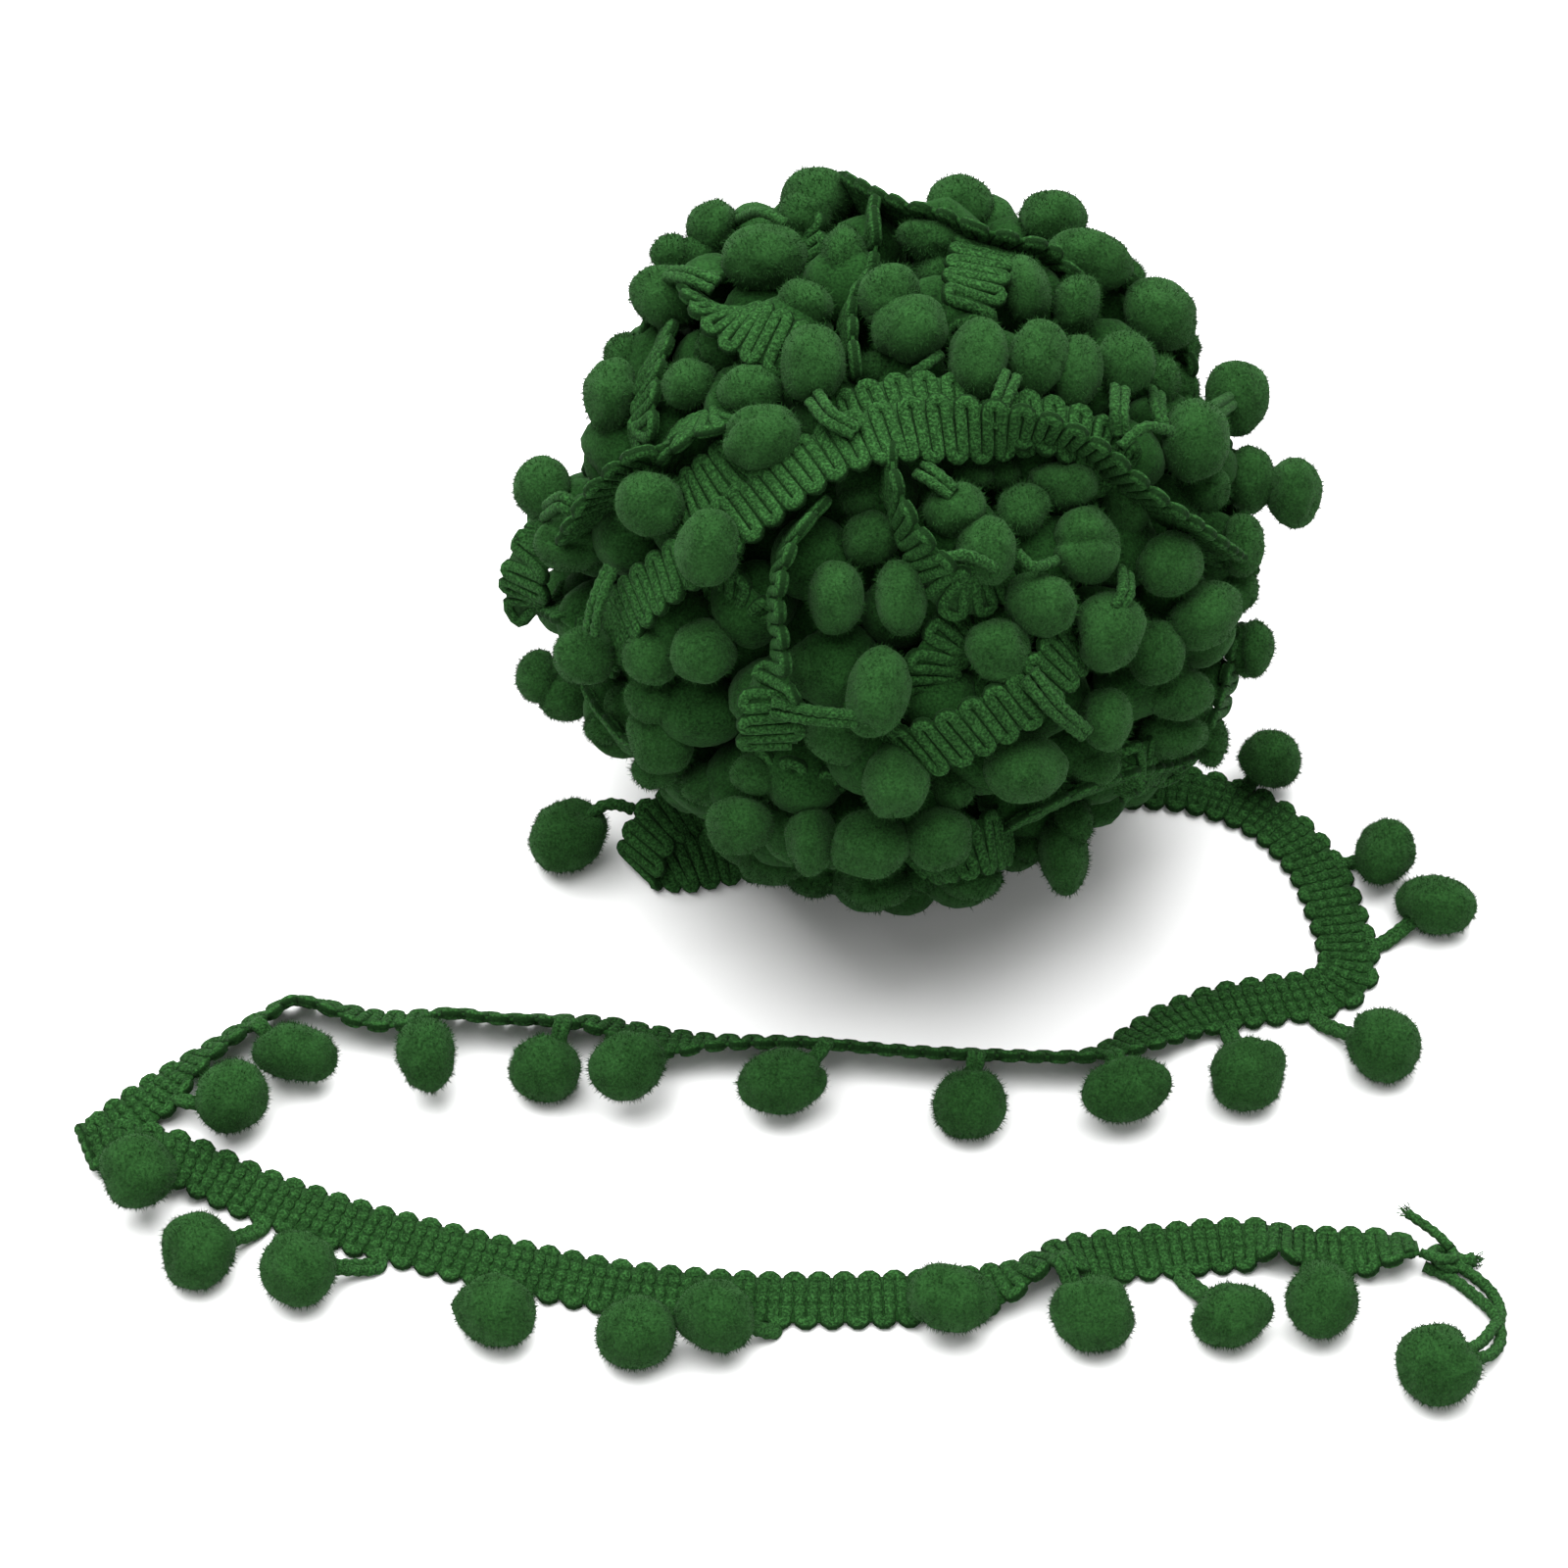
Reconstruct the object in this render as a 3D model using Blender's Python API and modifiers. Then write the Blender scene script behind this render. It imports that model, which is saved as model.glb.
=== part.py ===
"""Pompom fringe trim: a ball wound from pompom-edged heading tape, its loose end laid out in two runs.

The origin is the middle of the ball's flat rest spot, +X is the viewer's right, +Y points away from
the viewer and +Z is up. Sizes are in millimetres until MM turns them into metres.
"""
import math
from random import Random

import bmesh
import bpy
from mathutils import Vector

MM = 0.001

# Heading tape and its fringe
TAPE_WIDTH = 10.0
TAPE_THICK = 1.9
SCALLOP_PITCH = 3.9
SCALLOP_DEPTH = 0.7
SEAM_GAP = 0.3
STRIP_WIDTH = 1.0
STRIP_END = 4.0
CORD_ACROSS = 1.9
CORD_SPREAD = 1.1
CORD_STEP = 4.0
POMPOM_ACROSS = 12.0

# Wound ball
BALL_CENTRE = Vector((0.0, 0.0, 54.0))
CORE_RADIUS = 50.0
BAND_RADIUS = 53.0
POMPOM_RING = 51.5
UNDERSIDE_RADIUS = 56.0
UNDERSIDE_ANGLE = math.radians(27)
BALL_CUTS = 23
FILLER_COUNT = 262
FILLER_CLEAR = 9.0
FILLER_SIZES = (0.88, 1.05)
FILLER_SINK = (-2.0, 0.8)
STALK_ROOT_DEPTH = 0.9
VIEW_TILT = math.radians(48)

# Ball pompoms as the viewer sees them: right and up from the ball's centre, then width and height
SEEN_POMPOMS = (
    (-19, 41, 13, 10), (-8.5, 41, 9, 9), (0.5, 29.5, 12, 11), (4, 42, 11, 8), (-13.5, 32, 9, 8),
    (-24.5, 27, 7, 7), (-30.5, 21, 8, 8), (-21, 19.5, 9, 8), (-19, 13, 12, 11), (-11.5, 23, 10, 12),
    (-35, 3.5, 10, 11), (-27.5, -2.5, 9, 10), (11.5, 23.5, 9, 11), (21, 24, 9, 11), (19, 34.5, 8, 11),
    (25.5, 33.5, 8, 9), (33, 24, 9, 11), (43, 13.5, 11, 12), (7, 4, 9, 8), (16, 4, 8, 9),
    (23.5, 8.5, 11, 8), (25.5, -2, 9, 10), (39, -3.5, 10, 9), (19.5, -9.5, 10, 8), (-9.5, -9, 8, 10),
    (-0.5, -9, 8, 10), (-5.5, -1, 7, 8), (29.5, -13.5, 10, 11), (45, -10.5, 11, 9), (14.5, -17, 8, 8),
    (36.5, -20, 9, 9), (-28, -17, 9, 9), (-34.5, -20.5, 8, 9), (-3, -22, 8, 11), (-11, -19.5, 8, 10),
    (30, -26, 8, 9), (40, -27, 9, 9), (-1, -36, 9, 11), (18, -34.5, 11, 9), (29, -33, 9, 9),
    (-23.5, -42, 10, 9), (-12, -43, 9, 10), (-3.5, -45, 11, 10), (6.5, -43, 10, 9), (10.5, -49.5, 9, 9),
)
# Pompoms that stand proud of the outline: right and up are measured to the pompom's own middle
RIM_POMPOMS = (
    (-11, 53.5, 11, 11), (9.5, 51, 10, 9), (24.5, 49.5, 11, 9), (31, 44.5, 11, 9), (38.5, 37, 11, 10),
    (52, -16, 9, 9), (-54, 9, 9, 11), (-52, -21, 9, 9), (-38, 38.5, 10, 10), (-27.5, 47, 9, 9),
    (-47, 25, 9, 12), (27, -47, 9, 11), (-2, -53, 10, 9),
)
# Pompoms on a bare pair of cords: the middle of the pompom, then the root of its cords, right and up
STALKED_POMPOMS = (
    (53, 22.5, 11, 45, 19), (61, 9, 10.5, 50, 9), (-45, -16.5, 11, -40, -6),
)
# Bands of tape across the front, each a run of right and up marks
SEEN_BANDS = (
    (
        (-41, -13), (-30, -3), (-21, 6), (-11, 14.5), (-1.5, 18.5), (7, 18.5), (20, 17), (28.5, 14),
        (42, 3), (49, -4),
    ),
    ((-8, 21), (2, 23.5), (12, 22.5), (19, 20.5), (28, 18)),
    ((-27, 36), (-20, 33), (-12, 27)),
    ((13, 44), (9, 38), (6, 33)),
    ((1.5, -30), (12, -25.5), (23, -20), (28, -14)),
    ((1, 11), (5, -5), (14, -7)),
    ((-22, -29), (-14, -36), (-6, -40)),
    ((15, -41), (28, -38), (38, -33)),
    ((-46, 4), (-36, 13), (-29, 17)),
    ((-56, -6), (-49, -7), (-42, -9)),
)
BAND_STEP = 3.0
# Bands on the back: how many, how long, how far round the ball and how low they may start
HIDDEN_BANDS = 11
HIDDEN_BAND_LENGTH = 60.0
HIDDEN_BAND_STRETCH = (0.7, 1.2)
HIDDEN_FROM_Y = 0.1
HIDDEN_FROM_Z = -0.75
HIDDEN_SKIP = 0.4

# The loop of tape that bulges from the ball's foot: x, y, and the pompom that it carries
FOOT_LOOP = (
    (-9, -1), (-20, -3), (-29, -5.5), (-37, -9.5), (-41, -15), (-39.5, -21), (-32, -23.5), (-22, -20),
    (-10, -12),
)
FOOT_LOOP_LIFT = 5.3
FOOT_POMPOM = (-52, -17, 11.5)

# Loose end, from under the ball: place of the tape's middle, height of its lower edge above the
# surface, compass angle in which its pompom edge faces, and how far that edge is tipped up
TAPE_STATIONS = (
    # x, y, lift, across, lean
    (21.4, -2, 0, 92, 0), (32, -1, 0, 93, 0), (43.5, -0.8, 0, 86, 0), (51, -2.2, 0, 74, 0),
    (57.7, -5.2, 0, 60, 0), (62.2, -8.8, 0, 47, 0), (65.3, -12.8, 0, 33, 0), (67.6, -17, 0, 24, 0),
    (69.3, -22, 0, 15, 0), (70.5, -28, 0, 9, 0), (71.4, -33.5, 0, 3, 0), (71.4, -38.4, 0, -14, 0),
    (69.5, -42.2, 0, -44, 0), (65.2, -44.2, 0, -68, 0), (59.2, -45.2, 0, -77, 0), (51.5, -46.9, 0, -72, 4),
    (44.5, -50, 0, -62, 14), (38.6, -54, 0, -58, 28), (33.8, -57.3, 0, -66, 42),
    (28.6, -58.9, 0, -83, 49),
    (18.4, -58.8, 0, -91, 50), (2, -57.9, 0, -93, 50), (-12.3, -56.3, 0, -93, 50),
    (-26.6, -56, 0, -92, 44),
    (-33, -55.6, 0, -97, 30), (-39, -54.2, 0, -104, 32), (-45.5, -52.4, 0, -101, 44),
    (-53, -51.9, 0, -90, 50),
    (-60.2, -51.6, 0, -95, 50), (-67.3, -50.6, 0, -92, 50), (-74.4, -51.6, 0, -86, 40),
    (-80, -51.3, 0, -100, 40),
    (-86, -49.3, 0, -110, 50), (-91.4, -48.2, 0, -85, 52), (-96.2, -51.6, 0, -50, 48),
    (-101, -55.6, 0, -50, 46),
    (-106, -60, 0, -47, 36), (-111, -64.8, 0, -46, 14), (-115.5, -69, 0, -54, 0), (-119, -73, 0, -66, 0),
    (-120.2, -74.6, 1.15, -67, 0), (-119, -74, 2.35, -68, 0), (-114.5, -75, 2.4, -80, 0),
    (-109, -76.2, 2.3, -97, 0), (-103, -78.2, 1.1, -106, 0), (-96, -81.4, 0.1, -113, 0),
    (-89, -84.4, 0, -112, 0),
    (-79, -88.2, 0, -110, 0), (-69.4, -91.2, 0, -107, 0), (-56.3, -95, 0, -105, 0),
    (-39.1, -99, 0, -101, 0),
    (-22, -100.8, 0, -95, 0), (-9, -101, 0, -90, 0), (4, -100.6, 0, -87, 0), (12.5, -99.8, 0, -82, 8),
    (17.6, -98.4, 0, -66, 34), (21.4, -96, 0, -60, 46), (25.4, -94.4, 0, -74, 24), (31, -93.5, 0, -82, 4),
    (41.8, -92, 0, -83, 0), (51, -91.3, 0, -90, 2), (56, -91.9, 0, -100, 30), (60, -92.8, 0, -96, 14),
    (67, -93, 0, -90, 6), (72, -93.3, 0, -94, 26), (76, -94, 0, -98, 42),
)

# Pompoms of the loose end, in order from the ball: middle, long and short size, the long side's
# compass angle, height of its underside, and how far along the tape, from the place nearest to the
# pompom, its cords leave the tape
TAIL_POMPOMS = (
    # run, x, y, long, short, turn, lift, shift
    (1, 61.5, -0.6, 11, 9.5, -10, 2.4, -2), (1, 78.3, -19.7, 12.5, 10.5, 60, 1.1, -3),
    (1, 85.4, -29.1, 13, 10, -20, 0, 3),
    (2, 74.5, -57.8, 12, 11.5, 0, 0, 3), (2, 53.3, -62.9, 12, 11, 45, 0, -3),
    (2, 34.9, -67.4, 13, 10, 15, 2.3, 0),
    (3, 10.8, -68.8, 12, 11, 45, 0, -1.5), (3, -16.6, -66, 14, 10, 10, 2.6, -7),
    (4, -39.3, -64.5, 12.5, 10.5, 30, 4.7, -1), (4, -52.2, -62, 11.5, 11, -10, 0, -2.5),
    (5, -70.1, -61.8, 12, 9.5, 90, 4.6, 0), (5, -89.6, -60.2, 14, 9.5, -10, 2.1, 2),
    (5, -98.8, -69, 12, 11.5, 0, 1.7, 3),
    (6, -110.8, -84.3, 12, 11.5, 0, 4, 0), (6, -101.1, -95.4, 12, 11.5, 45, 0, 4),
    (6, -86.6, -98.5, 12, 11.5, 0, 0, 9),
    (7, -58, -105.8, 13, 11, -25, 0, 0), (7, -37.8, -109.6, 12.5, 11, 0, 0, 0),
    (7, -26.1, -108, 12, 11, 0, 2, 8),
    (8, 7.6, -105.4, 13.5, 10.5, 0, 2.3, 0),
    (9, 27.9, -106.4, 12.5, 11.5, -30, 0, -5), (9, 47.8, -106.3, 13, 10.5, 15, 0, -5),
    (9, 61, -104.3, 12, 10.5, 90, 1, -1),
)
RUN_COUNT = 9

# Knot at the tape's end: middle, size, its raw cord end, and its own pompom on a long pair of cords
KNOT_MIDDLE = (79.6, -94.6, 1.9)
KNOT_RADIUS = 1.9
RAW_END = ((79.6, -94.6, 1.9), (78.8, -90.6, 2.4), (75.4, -86.6, 2.6))
FRAYED_END = ((79.6, -94.6, 1.9), (84.0, -94.2, 1.4))
LAST_CORDS = ((79.6, -94.6, 1.9), (83, -97, 1), (85.4, -102, 1), (84.8, -108, 1.5), (79, -113.5, 4.5))
LAST_CORD_SPREAD = Vector((1.3, 0.4, 0))
LAST_POMPOM = (76, -115, 12.5, 12, 0)

FELT_GREEN = (0.028, 0.125, 0.030, 1.0)
TAPE_GREEN = (0.038, 0.150, 0.040, 1.0)
KNOT_GREEN = (0.034, 0.140, 0.036, 1.0)


def clear_scene():
    for obj in list(bpy.data.objects):
        bpy.data.objects.remove(obj, do_unlink=True)


def new_collection(name, shown):
    collection = bpy.data.collections.new(name)
    bpy.context.scene.collection.children.link(collection)
    collection.hide_render = not shown
    return collection


def cloth_material(name, colour, roughness):
    material = bpy.data.materials.new(name)
    material.use_nodes = True
    shader = material.node_tree.nodes["Principled BSDF"]
    shader.inputs["Base Color"].default_value = colour
    shader.inputs["Roughness"].default_value = roughness
    shader.inputs["Metallic"].default_value = 0.0
    return material


def place_mesh(name, mesh_tool, collection, material=None):
    """A new object, in metres, from a bmesh whose points are in millimetres."""
    bmesh.ops.scale(mesh_tool, vec=(MM, MM, MM), verts=mesh_tool.verts)
    mesh = bpy.data.meshes.new(name)
    mesh_tool.to_mesh(mesh)
    mesh_tool.free()
    obj = bpy.data.objects.new(name, mesh)
    collection.objects.link(obj)
    if material:
        mesh.materials.append(material)
    else:
        obj.hide_render = True
        obj.display_type = "WIRE"
    return obj


def compass(angle):
    """Unit vector, level with the surface, at this angle in degrees from +X."""
    turn = math.radians(angle)
    return Vector((math.cos(turn), math.sin(turn), 0))


def eased(values, t):
    """Smooth curve through four neighbouring values, read between the second and the third."""
    a, b, c, d = values
    return 0.5 * (2 * b + (c - a) * t + (2 * a - 5 * b + 4 * c - d) * t**2 + (3 * b - a - 3 * c + d) * t**3)


def spline(marks, step):
    """Points about one step apart on a smooth curve through the marks, which are vectors."""
    ends = [2 * marks[0] - marks[1], *marks, 2 * marks[-1] - marks[-2]]
    points = []
    for four in zip(ends, ends[1:], ends[2:], ends[3:]):
        count = max(1, round((four[2] - four[1]).length / step))
        points += [eased(four, i / count) for i in range(count)]
    return points + [marks[-1]]


# Loose end


def tape_sections():
    """The tape's cross-sections: (middle, way across to the pompom edge, distance from the start)."""
    rows = [Vector((*row[:3], 0)) for row in TAPE_STATIONS]
    angles = [(row[3], row[4]) for row in TAPE_STATIONS]
    half_step = SCALLOP_PITCH / 2
    sections = []
    distance = 0.0
    last = None
    for i in range(len(rows) - 1):
        picks = [max(i - 1, 0), i, i + 1, min(i + 2, len(rows) - 1)]
        count = max(1, round((rows[i + 1] - rows[i]).length / half_step))
        for k in range(count + (i == len(rows) - 2)):
            t = k / count
            place = eased([rows[p] for p in picks], t)
            across, lean = (eased([angles[p][j] for p in picks], t) for j in range(2))
            tip = math.radians(lean)
            way = compass(across) * math.cos(tip) + Vector((0, 0, math.sin(tip)))
            drop = TAPE_WIDTH / 2 * abs(math.sin(tip)) + TAPE_THICK / 2 * math.cos(tip)
            middle = Vector((place.x, place.y, max(place.z, 0) + drop))
            distance += (middle - last).length if last else 0
            last = middle
            sections.append((middle, way, distance))
    return sections


def section_at(sections, distance):
    return min(sections, key=lambda s: abs(s[2] - distance))


def root_distance(sections, row):
    """How far along the tape this pompom's cords leave its edge."""
    pompom = Vector((row[1], row[2], 0))
    edge = [(s[0] + s[1] * TAPE_WIDTH / 2, s[2]) for s in sections]
    nearest = min(edge, key=lambda e: (e[0].xy - pompom.xy).length)
    return nearest[1] + row[7]


def ribbon(sections, inner, outer, scallop):
    """An open strip of faces along the sections, from inner to outer across the tape."""
    mesh_tool = bmesh.new()
    bmesh.ops.create_grid(mesh_tool, x_segments=len(sections) - 1, y_segments=1, size=1)
    points = sorted(mesh_tool.verts, key=lambda v: (round(v.co.x, 5), v.co.y))
    for i, (middle, way, _) in enumerate(sections):
        trim = scallop if i % 2 else 0
        points[2 * i].co = middle + way * (inner + trim)
        points[2 * i + 1].co = middle + way * (outer - trim)
    return mesh_tool


def thicken(obj, thick):
    shell = obj.modifiers.new("thickness", "SOLIDIFY")
    shell.thickness = thick * MM
    shell.offset = 0
    return obj


def build_tape(sections, collection):
    mesh_tool = ribbon(sections, -TAPE_WIDTH / 2, TAPE_WIDTH / 2, SCALLOP_DEPTH)
    material = cloth_material("heading_tape", TAPE_GREEN, 0.88)
    return thicken(place_mesh("tail_tape", mesh_tool, collection, material), TAPE_THICK)


# Shapes that are joined into a backing


def pompom_shape(name, middle, long, short, turn, collection):
    mesh_tool = bmesh.new()
    bmesh.ops.create_icosphere(mesh_tool, subdivisions=2, radius=0.5)
    along = compass(turn)
    beside = compass(turn + 90)
    for vertex in mesh_tool.verts:
        x, y, z = vertex.co
        vertex.co = Vector(middle) + along * x * long + beside * y * short + Vector((0, 0, z * short))
    return place_mesh(name, mesh_tool, collection)


def cord_shape(name, marks, collection):
    """A four-sided cord through the marks, as a closed mesh."""
    curve = bpy.data.curves.new(name, "CURVE")
    curve.dimensions = "3D"
    curve.bevel_depth = CORD_ACROSS / 2 * MM
    curve.bevel_resolution = 0
    curve.use_fill_caps = True
    points = spline([Vector(mark) for mark in marks], CORD_STEP)
    line = curve.splines.new("POLY")
    line.points.add(len(points) - 1)
    for point, place in zip(line.points, points):
        point.co = (*(place * MM), 1)
    guide = bpy.data.objects.new(name, curve)
    collection.objects.link(guide)
    graph = bpy.context.evaluated_depsgraph_get()
    mesh_tool = bmesh.new()
    mesh_tool.from_mesh(bpy.data.meshes.new_from_object(guide.evaluated_get(graph)))
    bpy.data.objects.remove(guide, do_unlink=True)
    bmesh.ops.remove_doubles(mesh_tool, verts=mesh_tool.verts, dist=1e-6)
    bmesh.ops.scale(mesh_tool, vec=(1 / MM, 1 / MM, 1 / MM), verts=mesh_tool.verts)
    return place_mesh(name, mesh_tool, collection)


def join_all(backing, pieces):
    for piece in pieces:
        union = backing.modifiers.new(piece.name, "BOOLEAN")
        union.operation = "UNION"
        union.solver = "EXACT"
        union.object = piece


def cord_pair(name, root, along, target, collection):
    """Two cords side by side from a root on the backing into a pompom, closing up towards it."""
    pair = []
    for side in (-1, 1):
        start = root + along * side * CORD_SPREAD
        end = target + along * side * CORD_SPREAD / 2
        middle = (start + end) / 2
        pair.append(cord_shape(f"{name}_{side}", (start, middle, end), collection))
    return pair


def build_run(number, sections, collection, helpers):
    """One stretch of fringe: a strip parted from the tape's edge, cord pairs and their pompoms."""
    rows = [row for row in TAIL_POMPOMS if row[0] == number]
    roots = [root_distance(sections, row) for row in rows]
    stretch = [s for s in sections if roots[0] - STRIP_END <= s[2] <= roots[-1] + STRIP_END][::2]
    inner = TAPE_WIDTH / 2 + SEAM_GAP
    mesh_tool = ribbon(stretch, inner, inner + STRIP_WIDTH, 0)
    material = cloth_material(f"fringe_{number}", FELT_GREEN, 0.92)
    strip = thicken(place_mesh(f"fringe_run_{number}", mesh_tool, collection, material), TAPE_THICK)
    pieces = []
    for i, ((_, x, y, long, short, turn, lift, _), root) in enumerate(zip(rows, roots)):
        name = f"run_{number}_{i}"
        target = Vector((x, y, lift + short / 2))
        middle, way, _ = section_at(sections, root)
        ahead = section_at(sections, root + CORD_STEP)[0] - section_at(sections, root - CORD_STEP)[0]
        start = middle + way * (inner + STRIP_WIDTH / 2)
        pieces += cord_pair(name, start, ahead.normalized(), target, helpers)
        pieces.append(pompom_shape(f"{name}_pompom", target, long, short, turn, helpers))
    join_all(strip, pieces)
    return strip


def build_knot(collection, helpers):
    """The knot at the tape's end, with its raw ends and the last pompom on a long pair of cords."""
    mesh_tool = bmesh.new()
    bmesh.ops.create_icosphere(mesh_tool, subdivisions=2, radius=KNOT_RADIUS)
    bmesh.ops.translate(mesh_tool, vec=Vector(KNOT_MIDDLE), verts=mesh_tool.verts)
    material = cloth_material("knot_cord", KNOT_GREEN, 0.9)
    knot = place_mesh("end_knot", mesh_tool, collection, material)
    x, y, long, short, turn = LAST_POMPOM
    pieces = [cord_shape("raw_end", RAW_END, helpers), cord_shape("frayed_end", FRAYED_END, helpers)]
    for side in (0, 1):
        apart = [0, *[side] * (len(LAST_CORDS) - 2), 0]
        marks = [Vector(mark) + LAST_CORD_SPREAD * a for mark, a in zip(LAST_CORDS, apart)]
        pieces.append(cord_shape(f"last_cord_{side}", marks, helpers))
    pieces.append(pompom_shape("last_pompom", (x, y, short / 2), long, short, turn, helpers))
    join_all(knot, pieces)
    return knot


# Wound ball


def seen_point(right, up, out):
    """The point, from the ball's centre, that the viewer sees at right and up, at radius out."""
    depth = math.sqrt(max(out**2 - right**2 - up**2, 0))
    level = up * math.sin(VIEW_TILT) - depth * math.cos(VIEW_TILT)
    height = up * math.cos(VIEW_TILT) + depth * math.sin(VIEW_TILT)
    return Vector((right, level, height))


def even_directions(count):
    """Directions spread evenly over the sphere, from the top down in a golden-angle spiral."""
    golden = math.pi * (3 - math.sqrt(5))
    for i in range(count):
        height = 1 - (2 * i + 1) / count
        ring = math.sqrt(1 - height**2)
        yield Vector((ring * math.cos(golden * i), ring * math.sin(golden * i), height))


def ball_bands():
    """Each band of tape on the ball, as points about 3 mm apart at the bands' radius."""
    bands = []
    for marks in SEEN_BANDS:
        places = [seen_point(*mark, BAND_RADIUS).normalized() * BAND_RADIUS for mark in marks]
        bands.append([p.normalized() * BAND_RADIUS for p in spline(places, BAND_STEP)])
    draw = Random(7)
    for start in even_directions(4 * HIDDEN_BANDS):
        if start.y < HIDDEN_FROM_Y or start.z < HIDDEN_FROM_Z or draw.random() < HIDDEN_SKIP:
            continue
        side = start.cross(Vector([draw.uniform(-1, 1) for _ in range(3)])).normalized()
        arc = HIDDEN_BAND_LENGTH * draw.uniform(*HIDDEN_BAND_STRETCH)
        count = round(arc / BAND_STEP)
        turns = [(i / count - 0.5) * arc / BAND_RADIUS for i in range(count + 1)]
        bands.append([(start * math.cos(t) + side * math.sin(t)) * BAND_RADIUS for t in turns])
    return bands[:len(SEEN_BANDS) + HIDDEN_BANDS]


def ball_pompoms(bands):
    """(middle from the ball's centre, radius) of each pompom on the ball's surface."""
    rows = SEEN_POMPOMS + RIM_POMPOMS
    found = [(seen_point(r, u, POMPOM_RING), (w + h) / 4) for r, u, w, h in rows]
    draw = Random(3)
    for direction in even_directions(FILLER_COUNT):
        size = POMPOM_ACROSS / 2 * draw.uniform(*FILLER_SIZES)
        middle = direction * (POMPOM_RING + draw.uniform(*FILLER_SINK))
        crowded = any((middle - other).length < FILLER_CLEAR for other, _ in found)
        taped = any((middle - p).length < FILLER_CLEAR for band in bands for p in band)
        if not crowded and not taped:
            found.append((middle, size))
    return found


def reach(direction, middle, radius):
    """How far out a ray from the ball's centre leaves a sphere, or 0 where it misses it."""
    along = direction.dot(middle)
    past = radius**2 - (middle.length_squared - along**2)
    return along + math.sqrt(past) if along > 0 and past > 0 else 0.0


def surface_radius(direction, pompoms, bands):
    radius = max([CORE_RADIUS] + [reach(direction, *pompom) for pompom in pompoms])
    on_band = direction * BAND_RADIUS
    if any((on_band - p).length < TAPE_WIDTH / 2 for band in bands for p in band):
        radius = max(radius, BAND_RADIUS)
    down = max(-direction.z, 1e-6)
    if math.acos(min(down, 1)) < UNDERSIDE_ANGLE:
        radius = UNDERSIDE_RADIUS
    return min(radius, BALL_CENTRE.z / down)


def build_ball(collection, helpers):
    """The wound ball: one closed skin over its pompoms and bands, with a flat spot under it."""
    bands = ball_bands()
    pompoms = ball_pompoms(bands)
    mesh_tool = bmesh.new()
    bmesh.ops.create_cube(mesh_tool, size=2)
    bmesh.ops.subdivide_edges(mesh_tool, edges=mesh_tool.edges, cuts=BALL_CUTS, use_grid_fill=True)
    for vertex in mesh_tool.verts:
        # The tangent spaces the cube's grid evenly once it is drawn onto the sphere.
        even = Vector([math.tan(c * math.pi / 4) for c in vertex.co])
        direction = even.normalized()
        vertex.co = BALL_CENTRE + direction * surface_radius(direction, pompoms, bands)
        vertex.co.z = max(vertex.co.z, 0)
    # Plane triangles join cleanly, and bent squares don't.
    bmesh.ops.triangulate(mesh_tool, faces=mesh_tool.faces)
    ball = place_mesh("wound_ball", mesh_tool, collection, cloth_material("wound_trim", FELT_GREEN, 0.92))
    pieces = []
    for i, (right, up, across, root_right, root_up) in enumerate(STALKED_POMPOMS):
        target = BALL_CENTRE + seen_point(right, up, POMPOM_RING)
        root = BALL_CENTRE + seen_point(root_right, root_up, POMPOM_RING) * STALK_ROOT_DEPTH
        side = (target - root).cross(Vector((0, -math.cos(VIEW_TILT), math.sin(VIEW_TILT)))).normalized()
        pieces += cord_pair(f"stalk_{i}", root, side, target, helpers)
        pieces.append(pompom_shape(f"stalk_{i}_pompom", target, across, across, 0, helpers))
    marks = [Vector((x, y, FOOT_LOOP_LIFT)) for x, y in FOOT_LOOP]
    way = Vector((0, 0, 1))
    loop = ribbon([(p, way, 0) for p in spline(marks, SCALLOP_PITCH / 2)], -TAPE_WIDTH / 2, TAPE_WIDTH / 2, 0)
    pieces.append(thicken(place_mesh("foot_loop", loop, helpers), TAPE_THICK))
    x, y, across = FOOT_POMPOM
    target = Vector((x, y, across / 2))
    pieces += cord_pair("foot_stalk", marks[4], way, target, helpers)
    pieces.append(pompom_shape("foot_pompom", target, across, across, 0, helpers))
    join_all(ball, pieces)
    return ball


def main():
    clear_scene()
    parts = new_collection("pompom_fringe_trim", True)
    helpers = new_collection("helper_shapes", False)
    sections = tape_sections()
    build_ball(parts, helpers)
    build_tape(sections, parts)
    for number in range(1, RUN_COUNT + 1):
        build_run(number, sections, parts, helpers)
    build_knot(parts, helpers)


main()
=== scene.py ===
# %% [markdown]
# # Pompom fringe trim: a wound ball and its loose end
# The object is one long trim, wound into a ball, with its last half metre laid out on a table. A maker
# knits a yarn, lays it back and forth across the tape so that it makes ribs, and lets it out at one edge
# every few centimetres as a pair of cords that carries a felt pompom.
# The scene is built the same way round: first a yarn that can follow any line, then the tape as a
# zigzag of that yarn, then felt pompoms, and at the end the ball and the loose end are put together.

# %% Frame
import math
from random import Random

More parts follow.
